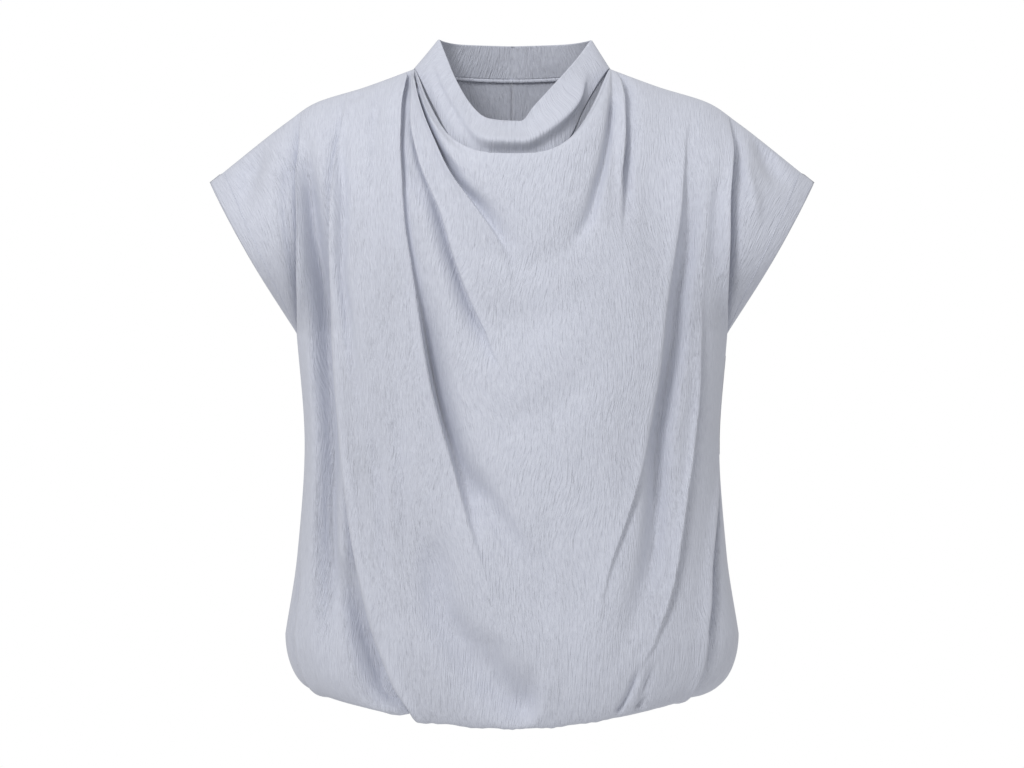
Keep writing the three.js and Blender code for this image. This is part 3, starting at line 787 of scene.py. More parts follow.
    def surface(self, share: np.ndarray, level: np.ndarray) -> tuple[np.ndarray, np.ndarray]:
        """Lays the folds on the smooth form.

        Args:
            share: share of the half girth of each point.
            level: its level down the garment.

        Returns:
            Points and outward normals of the draped cloth.
        """
        normal, across = self.form.frame(share, level, self.side)
        height, shift = self.relief(share, level)
        point = self.form.point(share, level, self.side)
        facing = np.array([0.0, float(self.side.value), 0.0])
        forward = (self.hang * (1 - smooth(*self.hang_end, level)))[..., None]
        direction = unit(normal * (1 - forward) + facing * forward)
        return point + direction * height[..., None] + across * shift[..., None], normal


def read_along(travelled: np.ndarray, values: np.ndarray, at: np.ndarray) -> np.ndarray:
    """Reads values given along a path at other distances along it."""
    return np.stack([np.interp(at, travelled, column) for column in values.T], axis=-1)


@dataclass(frozen=True)
class StitchRow:
    """A row of short raised stitches, each a box narrowed at the top, in millimetres."""

    length: float = 2.3
    gap: float = 0.9
    width: float = 0.8
    rise: float = 0.45
    sunk: float = 0.1

    def boxes(self, path: np.ndarray, outward: np.ndarray, flat: np.ndarray) -> tuple[np.ndarray, np.ndarray]:
        """Lays stitches along a path on the cloth.

        Args:
            path: points of the path.
            outward: the cloth's normal at each.
            flat: the same points laid flat.

        Returns:
            Eight corners for each stitch, and where each stitch lies on the flat cloth.
        """
        travelled = np.concatenate([[0.0], np.cumsum(np.linalg.norm(np.diff(path, axis=0), axis=-1))])
        starts = np.arange(0.0, travelled[-1] - self.length, self.length + self.gap)
        first = read_along(travelled, path, starts)
        last = read_along(travelled, path, starts + self.length)
        up = unit(read_along(travelled, outward, starts))
        aside = unit(np.cross(last - first, up)) * self.width / 2
        low, high = -up[:, None] * self.sunk, up[:, None] * self.rise
        base = np.stack([first - aside, last - aside, last + aside, first + aside], axis=1) + low
        narrow = aside / 2
        top = np.stack([first - narrow, last - narrow, last + narrow, first + narrow], axis=1) + high
        return np.concatenate([base, top], axis=1), read_along(travelled, flat, starts)


STITCH_CORNERS = 8
STITCH_FACES = np.array([[0, 1, 2, 3], [4, 7, 6, 5], [0, 4, 5, 1], [1, 5, 6, 2], [2, 6, 7, 3], [3, 7, 4, 0]])


@dataclass
class ClothMesh:
    """Collects the outer face of a piece of cloth and closes it into a thin wall."""

    points: list[np.ndarray] = field(default_factory=list)
    flat: list[np.ndarray] = field(default_factory=list)
    faces: list[np.ndarray] = field(default_factory=list)
    stitches: list[tuple[np.ndarray, np.ndarray]] = field(default_factory=list)
    count: int = 0

    def add_grid(
        self, points: np.ndarray, flat: np.ndarray, flip: bool, first_row: np.ndarray | None = None
    ) -> np.ndarray:
        """Adds a grid of points, joined into four-sided faces.

        Args:
            points: rows by columns of points, in millimetres.
            flat: the same points on the cloth laid flat, in millimetres.
            flip: whether the faces are turned over.
            first_row: indices of points that are there already and serve as the grid's first row.

        Returns:
            The grid of point indices.
        """
        rows, columns = points.shape[:2]
        skip = 0 if first_row is None else 1
        index = np.arange((rows - skip) * columns).reshape(rows - skip, columns) + self.count
        self.points.append(points[skip:].reshape(-1, 3))
        self.flat.append(flat[skip:].reshape(-1, 2))
        self.count += (rows - skip) * columns
        if first_row is not None:
            index = np.vstack([first_row[None, :], index])
        corners = [index[:-1, :-1], index[1:, :-1], index[1:, 1:], index[:-1, 1:]]
        quads = np.stack(corners, axis=-1).reshape(-1, 4)
        self.faces.append(quads[:, ::-1] if flip else quads)
        return index

    def sew_sleeve(self, drape: Drape, hand: Hand, inset: float) -> None:
        """Sews the hem of a sleeve.

        Args:
            drape: the draped side of the garment that the sleeve belongs to.
            hand: the sleeve's side.
            inset: distance of the stitches from the sleeve's edge.
        """
        form = drape.form
        start, end, samples = 0.015, 0.985, 160
        level = np.linspace(start, end, samples)
        share = np.full(level.shape, hand.value * (1 - inset / form.half_girth))
        path, outward = drape.surface(share, level)
        flat = np.stack([share * form.half_girth, form.drop(share, level, drape.side)], axis=-1)
        self.stitches.append(StitchRow().boxes(path, outward, flat))

    def directions(self) -> np.ndarray:
        """Reads which way the cloth faces.

        Returns:
            The outward direction at each point.
        """
        points = np.vstack(self.points)
        faces = np.vstack(self.faces)
        a, b, c, d = (points[faces[:, i]] for i in range(4))
        turn = np.cross(c - a, d - b)
        total = np.zeros_like(points)
        for i in range(4):
            np.add.at(total, faces[:, i], turn)
        return unit(total)

    def rim(self) -> np.ndarray:
        """Joins the free edges of the outer face to those of the inner one.

        Returns:
            The faces of the rim.
        """
        faces = np.vstack(self.faces)
        edges = np.vstack([faces[:, [i, (i + 1) % 4]] for i in range(4)])
        key = np.minimum(edges[:, 0], edges[:, 1]) * (self.count + 1) + np.maximum(edges[:, 0], edges[:, 1])
        _, first, uses = np.unique(key, return_index=True, return_counts=True)
        free = edges[first[uses == 1]]
        return np.stack([free[:, 1], free[:, 0], free[:, 0] + self.count, free[:, 1] + self.count], axis=-1)

    def build(self, name: str, wall: np.ndarray, directions: np.ndarray) -> bpy.types.Object:
        """Makes the closed mesh of the piece.

        Args:
            name: the object's name.
            wall: thickness of the cloth at each point, in millimetres.
            directions: the outward direction at each point.

        Returns:
            The object, in metres.
        """
        outer = np.vstack(self.points)
        flat = np.vstack(self.flat)
        faces = np.vstack(self.faces)
        inner = outer - directions * wall[:, None]
        corners = np.vstack([box.reshape(-1, 3) for box, _ in self.stitches])
        spots = np.vstack([np.repeat(spot, STITCH_CORNERS, axis=0) for _, spot in self.stitches])
        starts = STITCH_CORNERS * np.arange(len(corners) // STITCH_CORNERS) + 2 * self.count
        boxes = (STITCH_FACES[None] + starts[:, None, None]).reshape(-1, 4)
        quads = np.vstack([faces, faces[:, ::-1] + self.count, self.rim(), boxes])
        uv = np.vstack([flat, flat, spots])[quads.reshape(-1)]
        mesh = cloth_mesh(name, np.vstack([outer, inner, corners]), quads, uv)
        mesh.polygons.foreach_set("use_smooth", np.arange(len(quads)) < 2 * len(faces))
        return cloth_object(name, mesh)


def cloth_mesh(name: str, points: np.ndarray, quads: np.ndarray, uv: np.ndarray) -> bpy.types.Mesh:
    """Makes a mesh that knows where each of its points lies on the flat cloth.

    Args:
        name: the mesh's name.
        points: its points, in millimetres.
        quads: its four-sided faces.
        uv: where each corner of each face lies on the flat cloth, in millimetres.

    Returns:
        The mesh, in metres.
    """
    mesh = bpy.data.meshes.new(name)
    mesh.from_pydata((points * MM).tolist(), [], quads.tolist())
    mesh.update()
    layer = mesh.uv_layers.new(name=CLOTH_UV)
    layer.data.foreach_set("uv", (uv * MM).reshape(-1))
    return mesh


def cloth_object(name: str, mesh: bpy.types.Mesh) -> bpy.types.Object:
    """Puts a mesh in the scene as a piece of its own.

    Args:
        name: the object's name.
        mesh: its mesh.

    Returns:
        The object.
    """
    piece = bpy.data.objects.new(name, mesh)
    bpy.context.scene.collection.objects.link(piece)
    return piece


def graded(count: int, fine: float) -> np.ndarray:
    """Steps from 0 to 1 that are finer at both ends.

    Args:
        count: how many steps.
        fine: how much finer the end steps are, from 0 for even steps to below 1.

    Returns:
        The positions, without the last one.
    """
    t = np.arange(count) / count
    return t - fine * np.sin(2 * math.pi * t) / (2 * math.pi)


@dataclass(frozen=True)
class Rows:
    """Levels of a panel's rows: close together under the top edge, then even."""

    upper: int = 80
    body: int = 80
    hem: int = 44
    crowding: float = 1.6

    def levels(self) -> np.ndarray:
        """Counts the rows down the garment.

        Returns:
            The level of each row.
        """
        upper = (np.arange(self.upper) / self.upper) ** self.crowding
        body = 1 + np.arange(self.body) / self.body
        hem = 2 + np.arange(self.hem + 1) / self.hem
        return np.concatenate([upper, body, hem])


@dataclass
class Panel:
    """A cut panel of the top, with the cap sleeve cut in one with it."""

    drape: Drape
    rows: Rows = field(default_factory=Rows)
    seam_gap: float = 0.02
    wall: float = 0.9
    sleeve_hem_wall: float = 1.9
    sleeve_hem_width: float = 11.0

    def sewn(self, share: np.ndarray, level: np.ndarray) -> np.ndarray:
        """Finds the points on the side and shoulder seams.

        Args:
            share: share of the half girth of each point.
            level: its level down the garment.

        Returns:
            Whether each point is on one of those seams.
        """
        a = np.abs(share)
        on_side = (a > 1 - ON_EDGE) & ((level >= 1) | (level == 0))
        return on_side | ((level == 0) & (a >= self.drape.form.neck_share - ON_EDGE))

    def walls(self, cloth: ClothMesh, grid: np.ndarray, share: np.ndarray, level: np.ndarray) -> np.ndarray:
        """Thickness of the panel, which is double in the turned hem of the sleeve.

        Args:
            cloth: the mesh that holds the panel.
            grid: indices of the panel's points in it.
            share: share of the half girth of each of those.
            level: its level down the garment.

        Returns:
            The thickness at each point of the mesh.
        """
        wall = np.full(cloth.count, self.wall)
        to_edge = (1 - np.abs(share)) * self.drape.form.half_girth
        wall[grid[(level < 1) & (level > 0) & (to_edge < self.sleeve_hem_width)]] = self.sleeve_hem_wall
        return wall


@dataclass
class FrontPanel(Panel):
    """The draped front, with its cap sleeve fronts and the cowl rolled over at its neckline.

    Each pull of the drape on the grain is (size, middle, width), in millimetres round the front.
    """

    gap_columns: tuple[int, ...] = (20, 18, 30, 16, 16, 34, 7, 18, 16, 16, 22)
    fine: float = 0.55
    even_below: int = 10
    pleats_left_of_neck: int = 5
    neck_levels: tuple[float, ...] = (0, 0.1, 0.3, 0.6, 1, 2, 3)
    neck_rounds: tuple[float, ...] = (99.8, 94, 85, 76, 50, 44)
    pull_levels: tuple[float, float] = (60.0, 340.0)
    pull_end: tuple[float, float] = (420.0, 600.0)
    left_pull: tuple[float, float, float] = (34.0, -80.0, 78.0)
    right_pull: tuple[float, float, float] = (24.0, 130.0, 80.0)
    roll_radius: float = 5.4
    roll_leg: float = 18.0
    roll_arc_rows: int = 9
    roll_leg_rows: int = 5
    least_roll: float = 0.12
    flat_width: float = 0.84
    flat_length: float = 0.82
    flat_area: float = 0.56

    def bias(self, around: np.ndarray, drop: np.ndarray) -> np.ndarray:
        """How far the drape pulls the grain of the cloth towards the side seams.

        Args:
            around: distance round from the centre line of each point.
            drop: its drop below the origin.

        Returns:
            The pull towards +X, in millimetres.
        """
        pull = smooth(*self.pull_levels, drop) * (1 - 0.5 * smooth(*self.pull_end, drop))
        pulls = (self.left_pull, self.right_pull)
        left, right = (size * bell(around - middle, width) for size, middle, width in pulls)
        return (left - right) * pull

    def neck_line(self, level: np.ndarray) -> np.ndarray:
        """The column that starts at the right neck point and runs down the front."""
        corner = self.drape.form.half_girth * self.drape.form.neck_share
        return curve(self.neck_levels, (corner, *self.neck_rounds), level)

    def columns(self, level: np.ndarray) -> np.ndarray:
        """Runs the columns of the cloth along the pleats.

        Args:
            level: the level of each row.

        Returns:
            Distance round of each column in each row.
        """
        form = self.drape.form
        side = self.drape.side
        lines = [pleat.line(form, side, level)[0] for pleat in self.drape.pleats if pleat.guides_columns]
        lines.insert(self.pleats_left_of_neck, self.neck_line(level))
        edge = np.full(level.shape, form.half_girth)
        knots = [-edge, *lines, edge]
        parts = []
        for start, end, count in zip(knots[:-1], knots[1:], self.gap_columns):
            t = graded(count, self.fine if count >= self.even_below else 0.0)
            parts.append(start[:, None] + (end - start)[:, None] * t[None, :])
        return np.hstack([*parts, edge[:, None]])

    def build(self) -> bpy.types.Object:
        """Makes the front as one closed piece of cloth.

        Returns:
            The finished piece.
        """
        form = self.drape.form
        levels = self.rows.levels()
        around = self.columns(levels)
        share = np.clip(around / form.half_girth, -1, 1)
        level = np.repeat(levels[:, None], share.shape[1], axis=1)
        points, _ = self.drape.surface(share, level)
        seam = self.sewn(share, level)
        points[..., 1] = np.where(seam, 0.0, points[..., 1]) - self.seam_gap
        drop = form.drop(share, level, Side.FRONT)
        flat = np.stack([around + self.bias(around, drop), drop], axis=-1)
        cloth = ClothMesh()
        grid = cloth.add_grid(points, flat, flip=False)
        self.add_roll(cloth, grid[0], points[0], flat[0], share[0])
        directions = cloth.directions()
        directions[grid[seam], 1] = 0.0
        for hand in Hand:
            cloth.sew_sleeve(self.drape, hand, self.sleeve_hem_width)
        return cloth.build("front_cloth", self.walls(cloth, grid, share, level), unit(directions))

    def add_roll(
        self, cloth: ClothMesh, top: np.ndarray, crest: np.ndarray, flat: np.ndarray, share: np.ndarray
    ) -> None:
        """Rolls the top edge over into the neck as the cowl.

        Args:
            cloth: the mesh that holds the front.
            top: indices of the front's first row.
            crest: points of that row.
            flat: the same points laid flat.
            share: their shares of the half girth.
        """
        form = self.drape.form
        inside = np.flatnonzero(np.abs(share) < form.neck_share + ON_EDGE)
        inward = neck_inward(form, share[inside], Side.FRONT)
        full = np.maximum(1 - (np.abs(share[inside]) / form.neck_share) ** 4, self.least_roll)[:, None]
        rows = [crest[inside]]
        flats = [flat[inside]]
        for i in range(1, self.roll_arc_rows + self.roll_leg_rows + 1):
            turn = min(i / self.roll_arc_rows, 1.0) * math.pi / 2
            leg = max(i - self.roll_arc_rows, 0) / self.roll_leg_rows * self.roll_leg
            point = crest[inside] + inward * self.roll_radius * full * math.sin(turn)
            rows.append(point - UP * full * (self.roll_radius * (1 - math.cos(turn)) + leg))
            flats.append(flat[inside] - np.array([0.0, 1.0]) * (self.roll_radius * turn + leg))
        cloth.add_grid(np.stack(rows), np.stack(flats), flip=True, first_row=top[inside])


def neck_inward(form: BodyForm, share: np.ndarray, side: Side) -> np.ndarray:
    """The level way from the neckline towards the inside of the neck.

    Args:
        form: the smooth form.
        share: share of the half girth of each point of the neckline.
        side: front or back.

    Returns:
        The way at each point, of length 1.
    """
    step = 0.004
    limit = form.neck_share
    start = form.top_edge(np.clip(share - step, -limit, limit - ON_EDGE), side)
    end = form.top_edge(np.clip(share + step, -limit, limit - ON_EDGE), side)
    turned = [end[..., 1] - start[..., 1], start[..., 0] - end[..., 0], np.zeros(share.shape)]
    return unit(np.stack(turned, axis=-1)) * side.value


@dataclass
class BackPanel(Panel):
    """One half of the back, with its cap sleeve back."""

    hand: Hand = Hand.LEFT
    columns: int = 88
    fine: float = 0.4
    flat_width: float = 0.36
    flat_length: float = 0.80
    flat_area: float = 0.24

    def build(self) -> bpy.types.Object:
        """Makes the half back as one closed piece of cloth.

        Returns:
            The finished piece.
        """
        form = self.drape.form
        steps = np.concatenate([graded(self.columns, self.fine), [1.0]])
        shares = np.sort(self.hand.value * steps)
        share, level = np.meshgrid(shares, self.rows.levels())
        points, _ = self.drape.surface(share, level)
        a = np.abs(share)
        seam = self.sewn(share, level)
        centre = a < ON_EDGE
        points[..., 1] = np.where(seam, 0.0, points[..., 1]) + self.seam_gap
        points[..., 0] = np.where(centre, 0.0, points[..., 0]) + self.hand.value * self.seam_gap
        flat = np.stack([share * form.half_girth, form.drop(share, level, Side.BACK)], axis=-1)
        cloth = ClothMesh()
        grid = cloth.add_grid(points, flat, flip=True)
        directions = cloth.directions()
        directions[grid[seam], 1] = 0.0
        directions[grid[centre], 0] = 0.0
        neck = (level == 0) & (a < form.neck_share)
        directions[grid[neck]] = -neck_inward(form, share[neck], Side.BACK)
        cloth.sew_sleeve(self.drape, self.hand, self.sleeve_hem_width)
        name = f"back_{self.hand.name.lower()}_cloth"
        return cloth.build(name, self.walls(cloth, grid, share, level), unit(directions))


@dataclass(frozen=True)
class Crease:
    """A soft crease of the collar band: how far it stands out, and where it lies up and round the band."""

    height: float
    middle: float
    width: float
    rise: tuple[float, float]
    fall: tuple[float, float]

    def relief(self, at: np.ndarray, t: np.ndarray) -> np.ndarray:
        """How far it stands out.

        Args:
            at: how far round the band, for each station.
            t: how far up the band, for each row.

        Returns:
            The height, by station and row.
        """
        along = smooth(*self.rise, at) * (1 - smooth(*self.fall, at))
        return self.height * bell(t - self.middle, self.width) * along[:, None]


@dataclass
class CollarBand:
    """The high collar: one folded band, its front tucked inside the cowl.

    How far round the band a point lies runs from 0 at the centre back, over the right side and the front,
    to 1 at the centre back again.
    """

    form: BodyForm
    top_at: tuple[float, ...] = (
        0, 0.11, 0.21, 0.27, 0.33, 0.39, 0.435, 0.47, 0.52, 0.57, 0.61, 0.68, 0.74, 0.79, 0.89, 1)
    top_x: tuple[float, ...] = (0, 58, 81, 70, 55, 36, 19, 10, -8, -26, -41, -56, -67, -75, -56, 0)
    top_y: tuple[float, ...] = (60, 42, 0, -18, -36, -55, -72, -79, -80, -76, -62, -42, -20, 0, 42, 60)
    top_z: tuple[float, ...] = (32, 32, 31, 15, -4, -26, -46, -58, -57.5, -54.5, -40, -15, 11, 32, 32, 32)
    right_neck_at: float = 0.21
    left_neck_at: float = 0.79
    gap: float = 0.4
    tuck: float = 13.0
    tuck_reach: tuple[float, float] = (0.03, 0.33)
    inset_left: float = 10.0
    inset_right: float = 19.0
    inset_reach: float = 0.36
    bow: float = 4.0
    bow_reach: float = 0.3
    turn_under: Crease = Crease(13.0, 0.58, 0.17, (0.27, 0.37), (0.52, 0.64))
    trough: Crease = Crease(-3.0, 0.52, 0.13, (0.52, 0.6), (0.72, 0.78))
    wrinkle_height: float = 0.5
    wrinkle_turns: tuple[float, float] = (61.0, 23.0)
    layer_gap: float = 2.4
    corner_round: float = 0.009
    corner_weights: tuple[tuple[float, float], ...] = (
        (-1.5, 0.15), (-0.75, 0.2), (0, 0.3), (0.75, 0.2), (1.5, 0.15))
    seam_groove: float = 1.1
    seam_width: float = 0.0022
    overlock: tuple[tuple[float, float], ...] = (
        (-1.0, -0.1), (-2.2, -0.1), (-2.4, -1.8), (-2.2, -3.5), (-1.0, -3.7))
    overlock_wave: float = 0.25
    overlock_stitches: int = 150
    stations: int = 360
    rows: int = 34
    edge_rows: int = 7
    flat_width: float = 0.50
    flat_length: float = 0.075
    flat_area: float = 0.026

    def foot(self, at: np.ndarray) -> tuple[np.ndarray, np.ndarray, np.ndarray]:
        """The band's lower edge.

        Args:
            at: how far round the band.

        Returns:
            Points, the level way out from the neck, and how far each is from the neck corners.
        """
        form = self.form
        neck = form.neck_share
        front = (at > self.right_neck_at) & (at < self.left_neck_at)
        span = self.left_neck_at - self.right_neck_at
        share_front = (1 - 2 * (at - self.right_neck_at) / span) * neck
        share_right = at / self.right_neck_at * neck
        share_left = -(1 - (at - self.left_neck_at) / (1 - self.left_neck_at)) * neck
        share = np.where(front, share_front, np.where(at <= self.right_neck_at, share_right, share_left))
        share = np.clip(share, -neck + ON_EDGE, neck - ON_EDGE)
        ahead = front[:, None]
        edge = np.where(ahead, form.top_edge(share, Side.FRONT), form.top_edge(share, Side.BACK))
        inward = np.where(ahead, neck_inward(form, share, Side.FRONT), neck_inward(form, share, Side.BACK))
        corner = np.where(front, 1 - np.abs(share) / neck, 0.0)
        stand = self.inset_left + (share / neck + 1) / 2 * (self.inset_right - self.inset_left)
        edge = edge + inward * (stand * smooth(0.0, self.inset_reach, corner))[:, None]
        edge[:, 2] += self.gap - (self.gap + self.tuck) * smooth(*self.tuck_reach, corner)
        return edge, -inward, corner

    def head(self, at: np.ndarray) -> np.ndarray:
        """The band's folded top edge, its corners rounded off.

        Args:
            at: how far round the band.

        Returns:
            The points of the edge.
        """
        total = np.zeros((len(at), 3))
        for shift, weight in self.corner_weights:
            near = (at + shift * self.corner_round) % 1.0
            columns = [curve(self.top_at, column, near) for column in (self.top_x, self.top_y, self.top_z)]
            total += weight * np.stack(columns, axis=-1)
        return total

    def bulge(self, at: np.ndarray, t: np.ndarray, corner: np.ndarray) -> np.ndarray:
        """How far the band stands out between its edges: bowed, creased, and turned under low on the right.

        Args:
            at: how far round the band, for each station.
            t: how far up the band, for each row.
            corner: how far each station is from the neck corners.

        Returns:
            The distance, by station and row.
        """
        full = smooth(0.0, self.bow_reach, corner)[:, None]
        plain = self.bow * np.sin(math.pi * t)
        first, second = self.wrinkle_turns
        wrinkles = self.wrinkle_height * (np.sin(at * first) * np.sin(at * second + 1.0))[:, None]
        creases = self.turn_under.relief(at, t) + self.trough.relief(at, t)
        return (plain + creases) * full + wrinkles * np.sin(math.pi * t)

    def build(self) -> bpy.types.Object:
        """Makes the band as a closed ring: up its outside, over the fold and down its inside.

        Returns:
            The finished piece.
        """
        at = np.linspace(0, 1, self.stations, endpoint=False)
        foot, outward, corner = self.foot(at)
        head = self.head(at)
        out = outward[:, None, :]
        t = np.linspace(0, 1, self.rows)[None, :]
        points = foot[:, None, :] + (head - foot)[:, None, :] * t[..., None]
        points = points + out * self.bulge(at, t, corner)[..., None]
        seam = self.seam_groove * bell(np.minimum(at, 1 - at), self.seam_width)[:, None, None]
        points = points - out * seam
        down = unit(points[:, 0] - points[:, 1])
        inner = points - out * (self.layer_gap - 2.0 * seam)
        half = self.layer_gap / 2
        middle = points[:, -1] - outward * half
        arcs = []
        for i in range(1, self.edge_rows):
            turn = math.pi * i / self.edge_rows
            arcs.append(middle + outward * half * math.cos(turn) - down * half * math.sin(turn))
        ring = np.concatenate([points, np.stack(arcs, axis=1), inner[:, ::-1]], axis=1)
        around = at * self.flat_width / MM
        return ring_piece("collar_cloth", [ring, self.neck_seam(foot, outward, at)], around)

    def neck_seam(self, foot: np.ndarray, outward: np.ndarray, at: np.ndarray) -> np.ndarray:
        """The overlocked seam allowance inside the band's foot.

        Args:
            foot: points of the band's lower edge.
            outward: the level way out from the neck at each.
            at: how far round the band each is.

        Returns:
            A small closed section at each station.
        """
        wave = self.overlock_wave * np.sin(at * 2 * math.pi * self.overlock_stitches)
        inner_edge, lower_edge = -2.0, -1.0
        sections = []
        for out, up in self.overlock:
            point = foot + outward * (out + wave * (out < inner_edge))[:, None]
            sections.append(point + UP * (up + 0.5 * wave * (up < lower_edge))[:, None])
        return np.stack(sections, axis=1)


def ring_piece(name: str, rings: list[np.ndarray], around: np.ndarray) -> bpy.types.Object:
    """Makes one piece of rings of cloth whose sections are closed.

    Args:
        name: the object's name.
        rings: for each ring, stations by section points, in millimetres.
        around: distance round the rings of each station, laid flat.

    Returns:
        The object, in metres.
    """
    closing = 2.0
    points, faces, flats = [], [], []
    count = 0
    step = around[1] - around[0]
    u = np.stack([around, around, around + step, around + step], axis=-1)
    for ring in rings:
        stations, section = ring.shape[:2]
        index = np.arange(stations * section).reshape(stations, section) + count
        after = np.roll(index, -1, axis=0)
        quads = np.stack([index, np.roll(index, -1, axis=1), np.roll(after, -1, axis=1), after], axis=-1)
        along = np.concatenate([[0], np.cumsum(np.linalg.norm(np.diff(ring[0], axis=0), axis=-1))])
        ahead = np.append(along[1:], along[-1] + closing)
        flat = np.empty((stations, section, 4, 2))
        flat[..., 0] = u[:, None, :]
        flat[..., 1] = np.stack([along, ahead, ahead, along], axis=-1)[None]
        points.append(ring.reshape(-1, 3))
        faces.append(quads.reshape(-1, 4))
        flats.append(flat.reshape(-1, 2))
        count += stations * section
    mesh = cloth_mesh(name, np.vstack(points), np.vstack(faces), np.vstack(flats))
    mesh.shade_smooth()
    return cloth_object(name, mesh)


@dataclass(frozen=True)
class Socket:
    """A named input or output of a shader group."""

    name: str
    kind: str = "NodeSocketFloat"
    value: float | None = None


class ShaderGroup:
    """A shader node group under construction, with short ways to add and join nodes."""

    def __init__(self, name: str, inputs: tuple[Socket, ...], outputs: tuple[Socket, ...]) -> None:
        """Makes the group and its sockets.

        Args:
            name: the group's name.
            inputs: its inputs.
            outputs: its outputs.
        """
        self.tree = bpy.data.node_groups.new(name, "ShaderNodeTree")
        for sockets, direction in ((inputs, "INPUT"), (outputs, "OUTPUT")):
            for socket in sockets:
                made = self.tree.interface.new_socket(socket.name, in_out=direction, socket_type=socket.kind)
                if socket.value is not None:
                    made.default_value = socket.value
        self.start = self.tree.nodes.new("NodeGroupInput")
        self.end = self.tree.nodes.new("NodeGroupOutput")

    def node(self, kind: str, **settings: object) -> bpy.types.Node:
        """Adds a node.

        Args:
            kind: the node's type.
            settings: its settings by name.

        Returns:
            The node.
        """
        made = self.tree.nodes.new(kind)
        for key, value in settings.items():
            setattr(made, key, value)
        return made

    def join(self, source: bpy.types.NodeSocket, target: bpy.types.NodeSocket) -> None:
        """Joins two sockets."""
        self.tree.links.new(source, target)

    def math(self, operation: str, *values: bpy.types.NodeSocket | float) -> bpy.types.NodeSocket:
        """Adds a sum of sockets or numbers.

        Args:
            operation: the kind of sum.
            values: what goes into it.

        Returns:
            The socket of its result.
        """
        made = self.node("ShaderNodeMath", operation=operation)
        for value, target in zip(values, made.inputs):
            if isinstance(value, bpy.types.NodeSocket):
                self.join(value, target)
            else:
                target.default_value = value
        return made.outputs[0]

    def split(self, vector: bpy.types.NodeSocket) -> tuple[bpy.types.NodeSocket, bpy.types.NodeSocket]:
        """Splits a place on the flat cloth.

        Args:
            vector: the place.

        Returns:
            How far across and how far along the cloth it is.
        """
        made = self.node("ShaderNodeSeparateXYZ")
        self.join(vector, made.inputs[0])
        return made.outputs[0], made.outputs[1]

    def place(self, across: bpy.types.NodeSocket, along: bpy.types.NodeSocket) -> bpy.types.NodeSocket:
        """Makes a place on the flat cloth.

        Args:
            across: how far across the cloth it is.
            along: how far along the cloth it is.

        Returns:
            The place.
        """
        made = self.node("ShaderNodeCombineXYZ")
        self.join(across, made.inputs[0])
        self.join(along, made.inputs[1])
        return made.outputs[0]

    def scaled(
        self,
        vector: bpy.types.NodeSocket,
        across: bpy.types.NodeSocket | float,
        along: bpy.types.NodeSocket | float,
    ) -> bpy.types.NodeSocket:
        """Scales a place on the flat cloth.

        Args:
            vector: the place.
            across: scale across the cloth.
            along: scale along it.

        Returns:
            The scaled place.
        """
        x, y = self.split(vector)
        return self.place(self.math("MULTIPLY", x, across), self.math("MULTIPLY", y, along))

    def noise(self, vector: bpy.types.NodeSocket, detail: float, warp: float = 0.0) -> bpy.types.NodeSocket:
        """Adds noise.

        Args:
            vector: the place at which it is read.
            detail: how many finer layers it has.
            warp: how much it is distorted.

        Returns:
            The socket of its value.
        """
        made = self.node("ShaderNodeTexNoise")
        made.inputs["Scale"].default_value = 1.0
        made.inputs["Detail"].default_value = detail
        made.inputs["Distortion"].default_value = warp
        self.join(vector, made.inputs["Vector"])
        return made.outputs[0]


@dataclass(frozen=True)
class Crinkle:
    """Crinkle of the crepe: fine streaks along the cloth, broken up and leaning a little both ways, with
    shade painted into the colour of its low streaks.

    Scales are across and along the cloth, in repeats a metre.
    """

    lean: float = 0.05
    lean_scale: tuple[float, float] = (9.0, 6.0)
    line_scale: tuple[float, float] = (330.0, 34.0)
    line_sharpness: float = 6.0
    streak_share: float = 0.6
    line_share: float = 0.16
    # Painted shade: how strongly the colour darkens where the crinkle streaks sink and lightens where they
    # rise.
    painted_shade_contrast: float = 2.4

    def make(self) -> bpy.types.NodeTree:
        """Makes the shader group.

        Returns:
            The group, with the scale and lean of its streaks as inputs.
        """
        group = ShaderGroup(
            "crepe_crinkle",
            (
                Socket("Cloth", "NodeSocketVector"),
                Socket("Across", value=1050.0),
                Socket("Along", value=100.0),
                Socket("Lean", value=self.lean),
            ),
            (Socket("Height"), Socket("Painted Shade")),
        )
        cloth = group.start.outputs["Cloth"]
        across, along = group.split(cloth)
        sway = group.math("SUBTRACT", group.noise(group.scaled(cloth, *self.lean_scale), 1.0), 0.5)
        leant = group.math("ADD", across, group.math("MULTIPLY", sway, group.start.outputs["Lean"]))
        place = group.place(leant, along)
        scale = (group.start.outputs["Across"], group.start.outputs["Along"])
        streaks = group.noise(group.scaled(place, *scale), 2.0, 0.25)
        wide = group.math("SUBTRACT", group.noise(group.scaled(place, *self.line_scale), 1.0, 0.3), 0.5)
        slope = group.math("ABSOLUTE", group.math("MULTIPLY", wide, self.line_sharpness))
        lines = group.math("MAXIMUM", group.math("SUBTRACT", 1.0, slope), 0.0)
        low = group.math("MULTIPLY", streaks, self.streak_share)
        height = group.math("ADD", low, group.math("MULTIPLY", lines, self.line_share))
        group.join(height, group.end.inputs["Height"])
        # Painted shade and highlight: the colour follows the same streaks as the crinkle's height, darker in
        # its low streaks and lighter on its raised ones.
        crinkle_rise = group.math("SUBTRACT", streaks, 0.5)
        painted_shade = group.math("MULTIPLY_ADD", crinkle_rise, self.painted_shade_contrast, 0.5)
        group.join(painted_shade, group.end.inputs["Painted Shade"])
        return group.tree


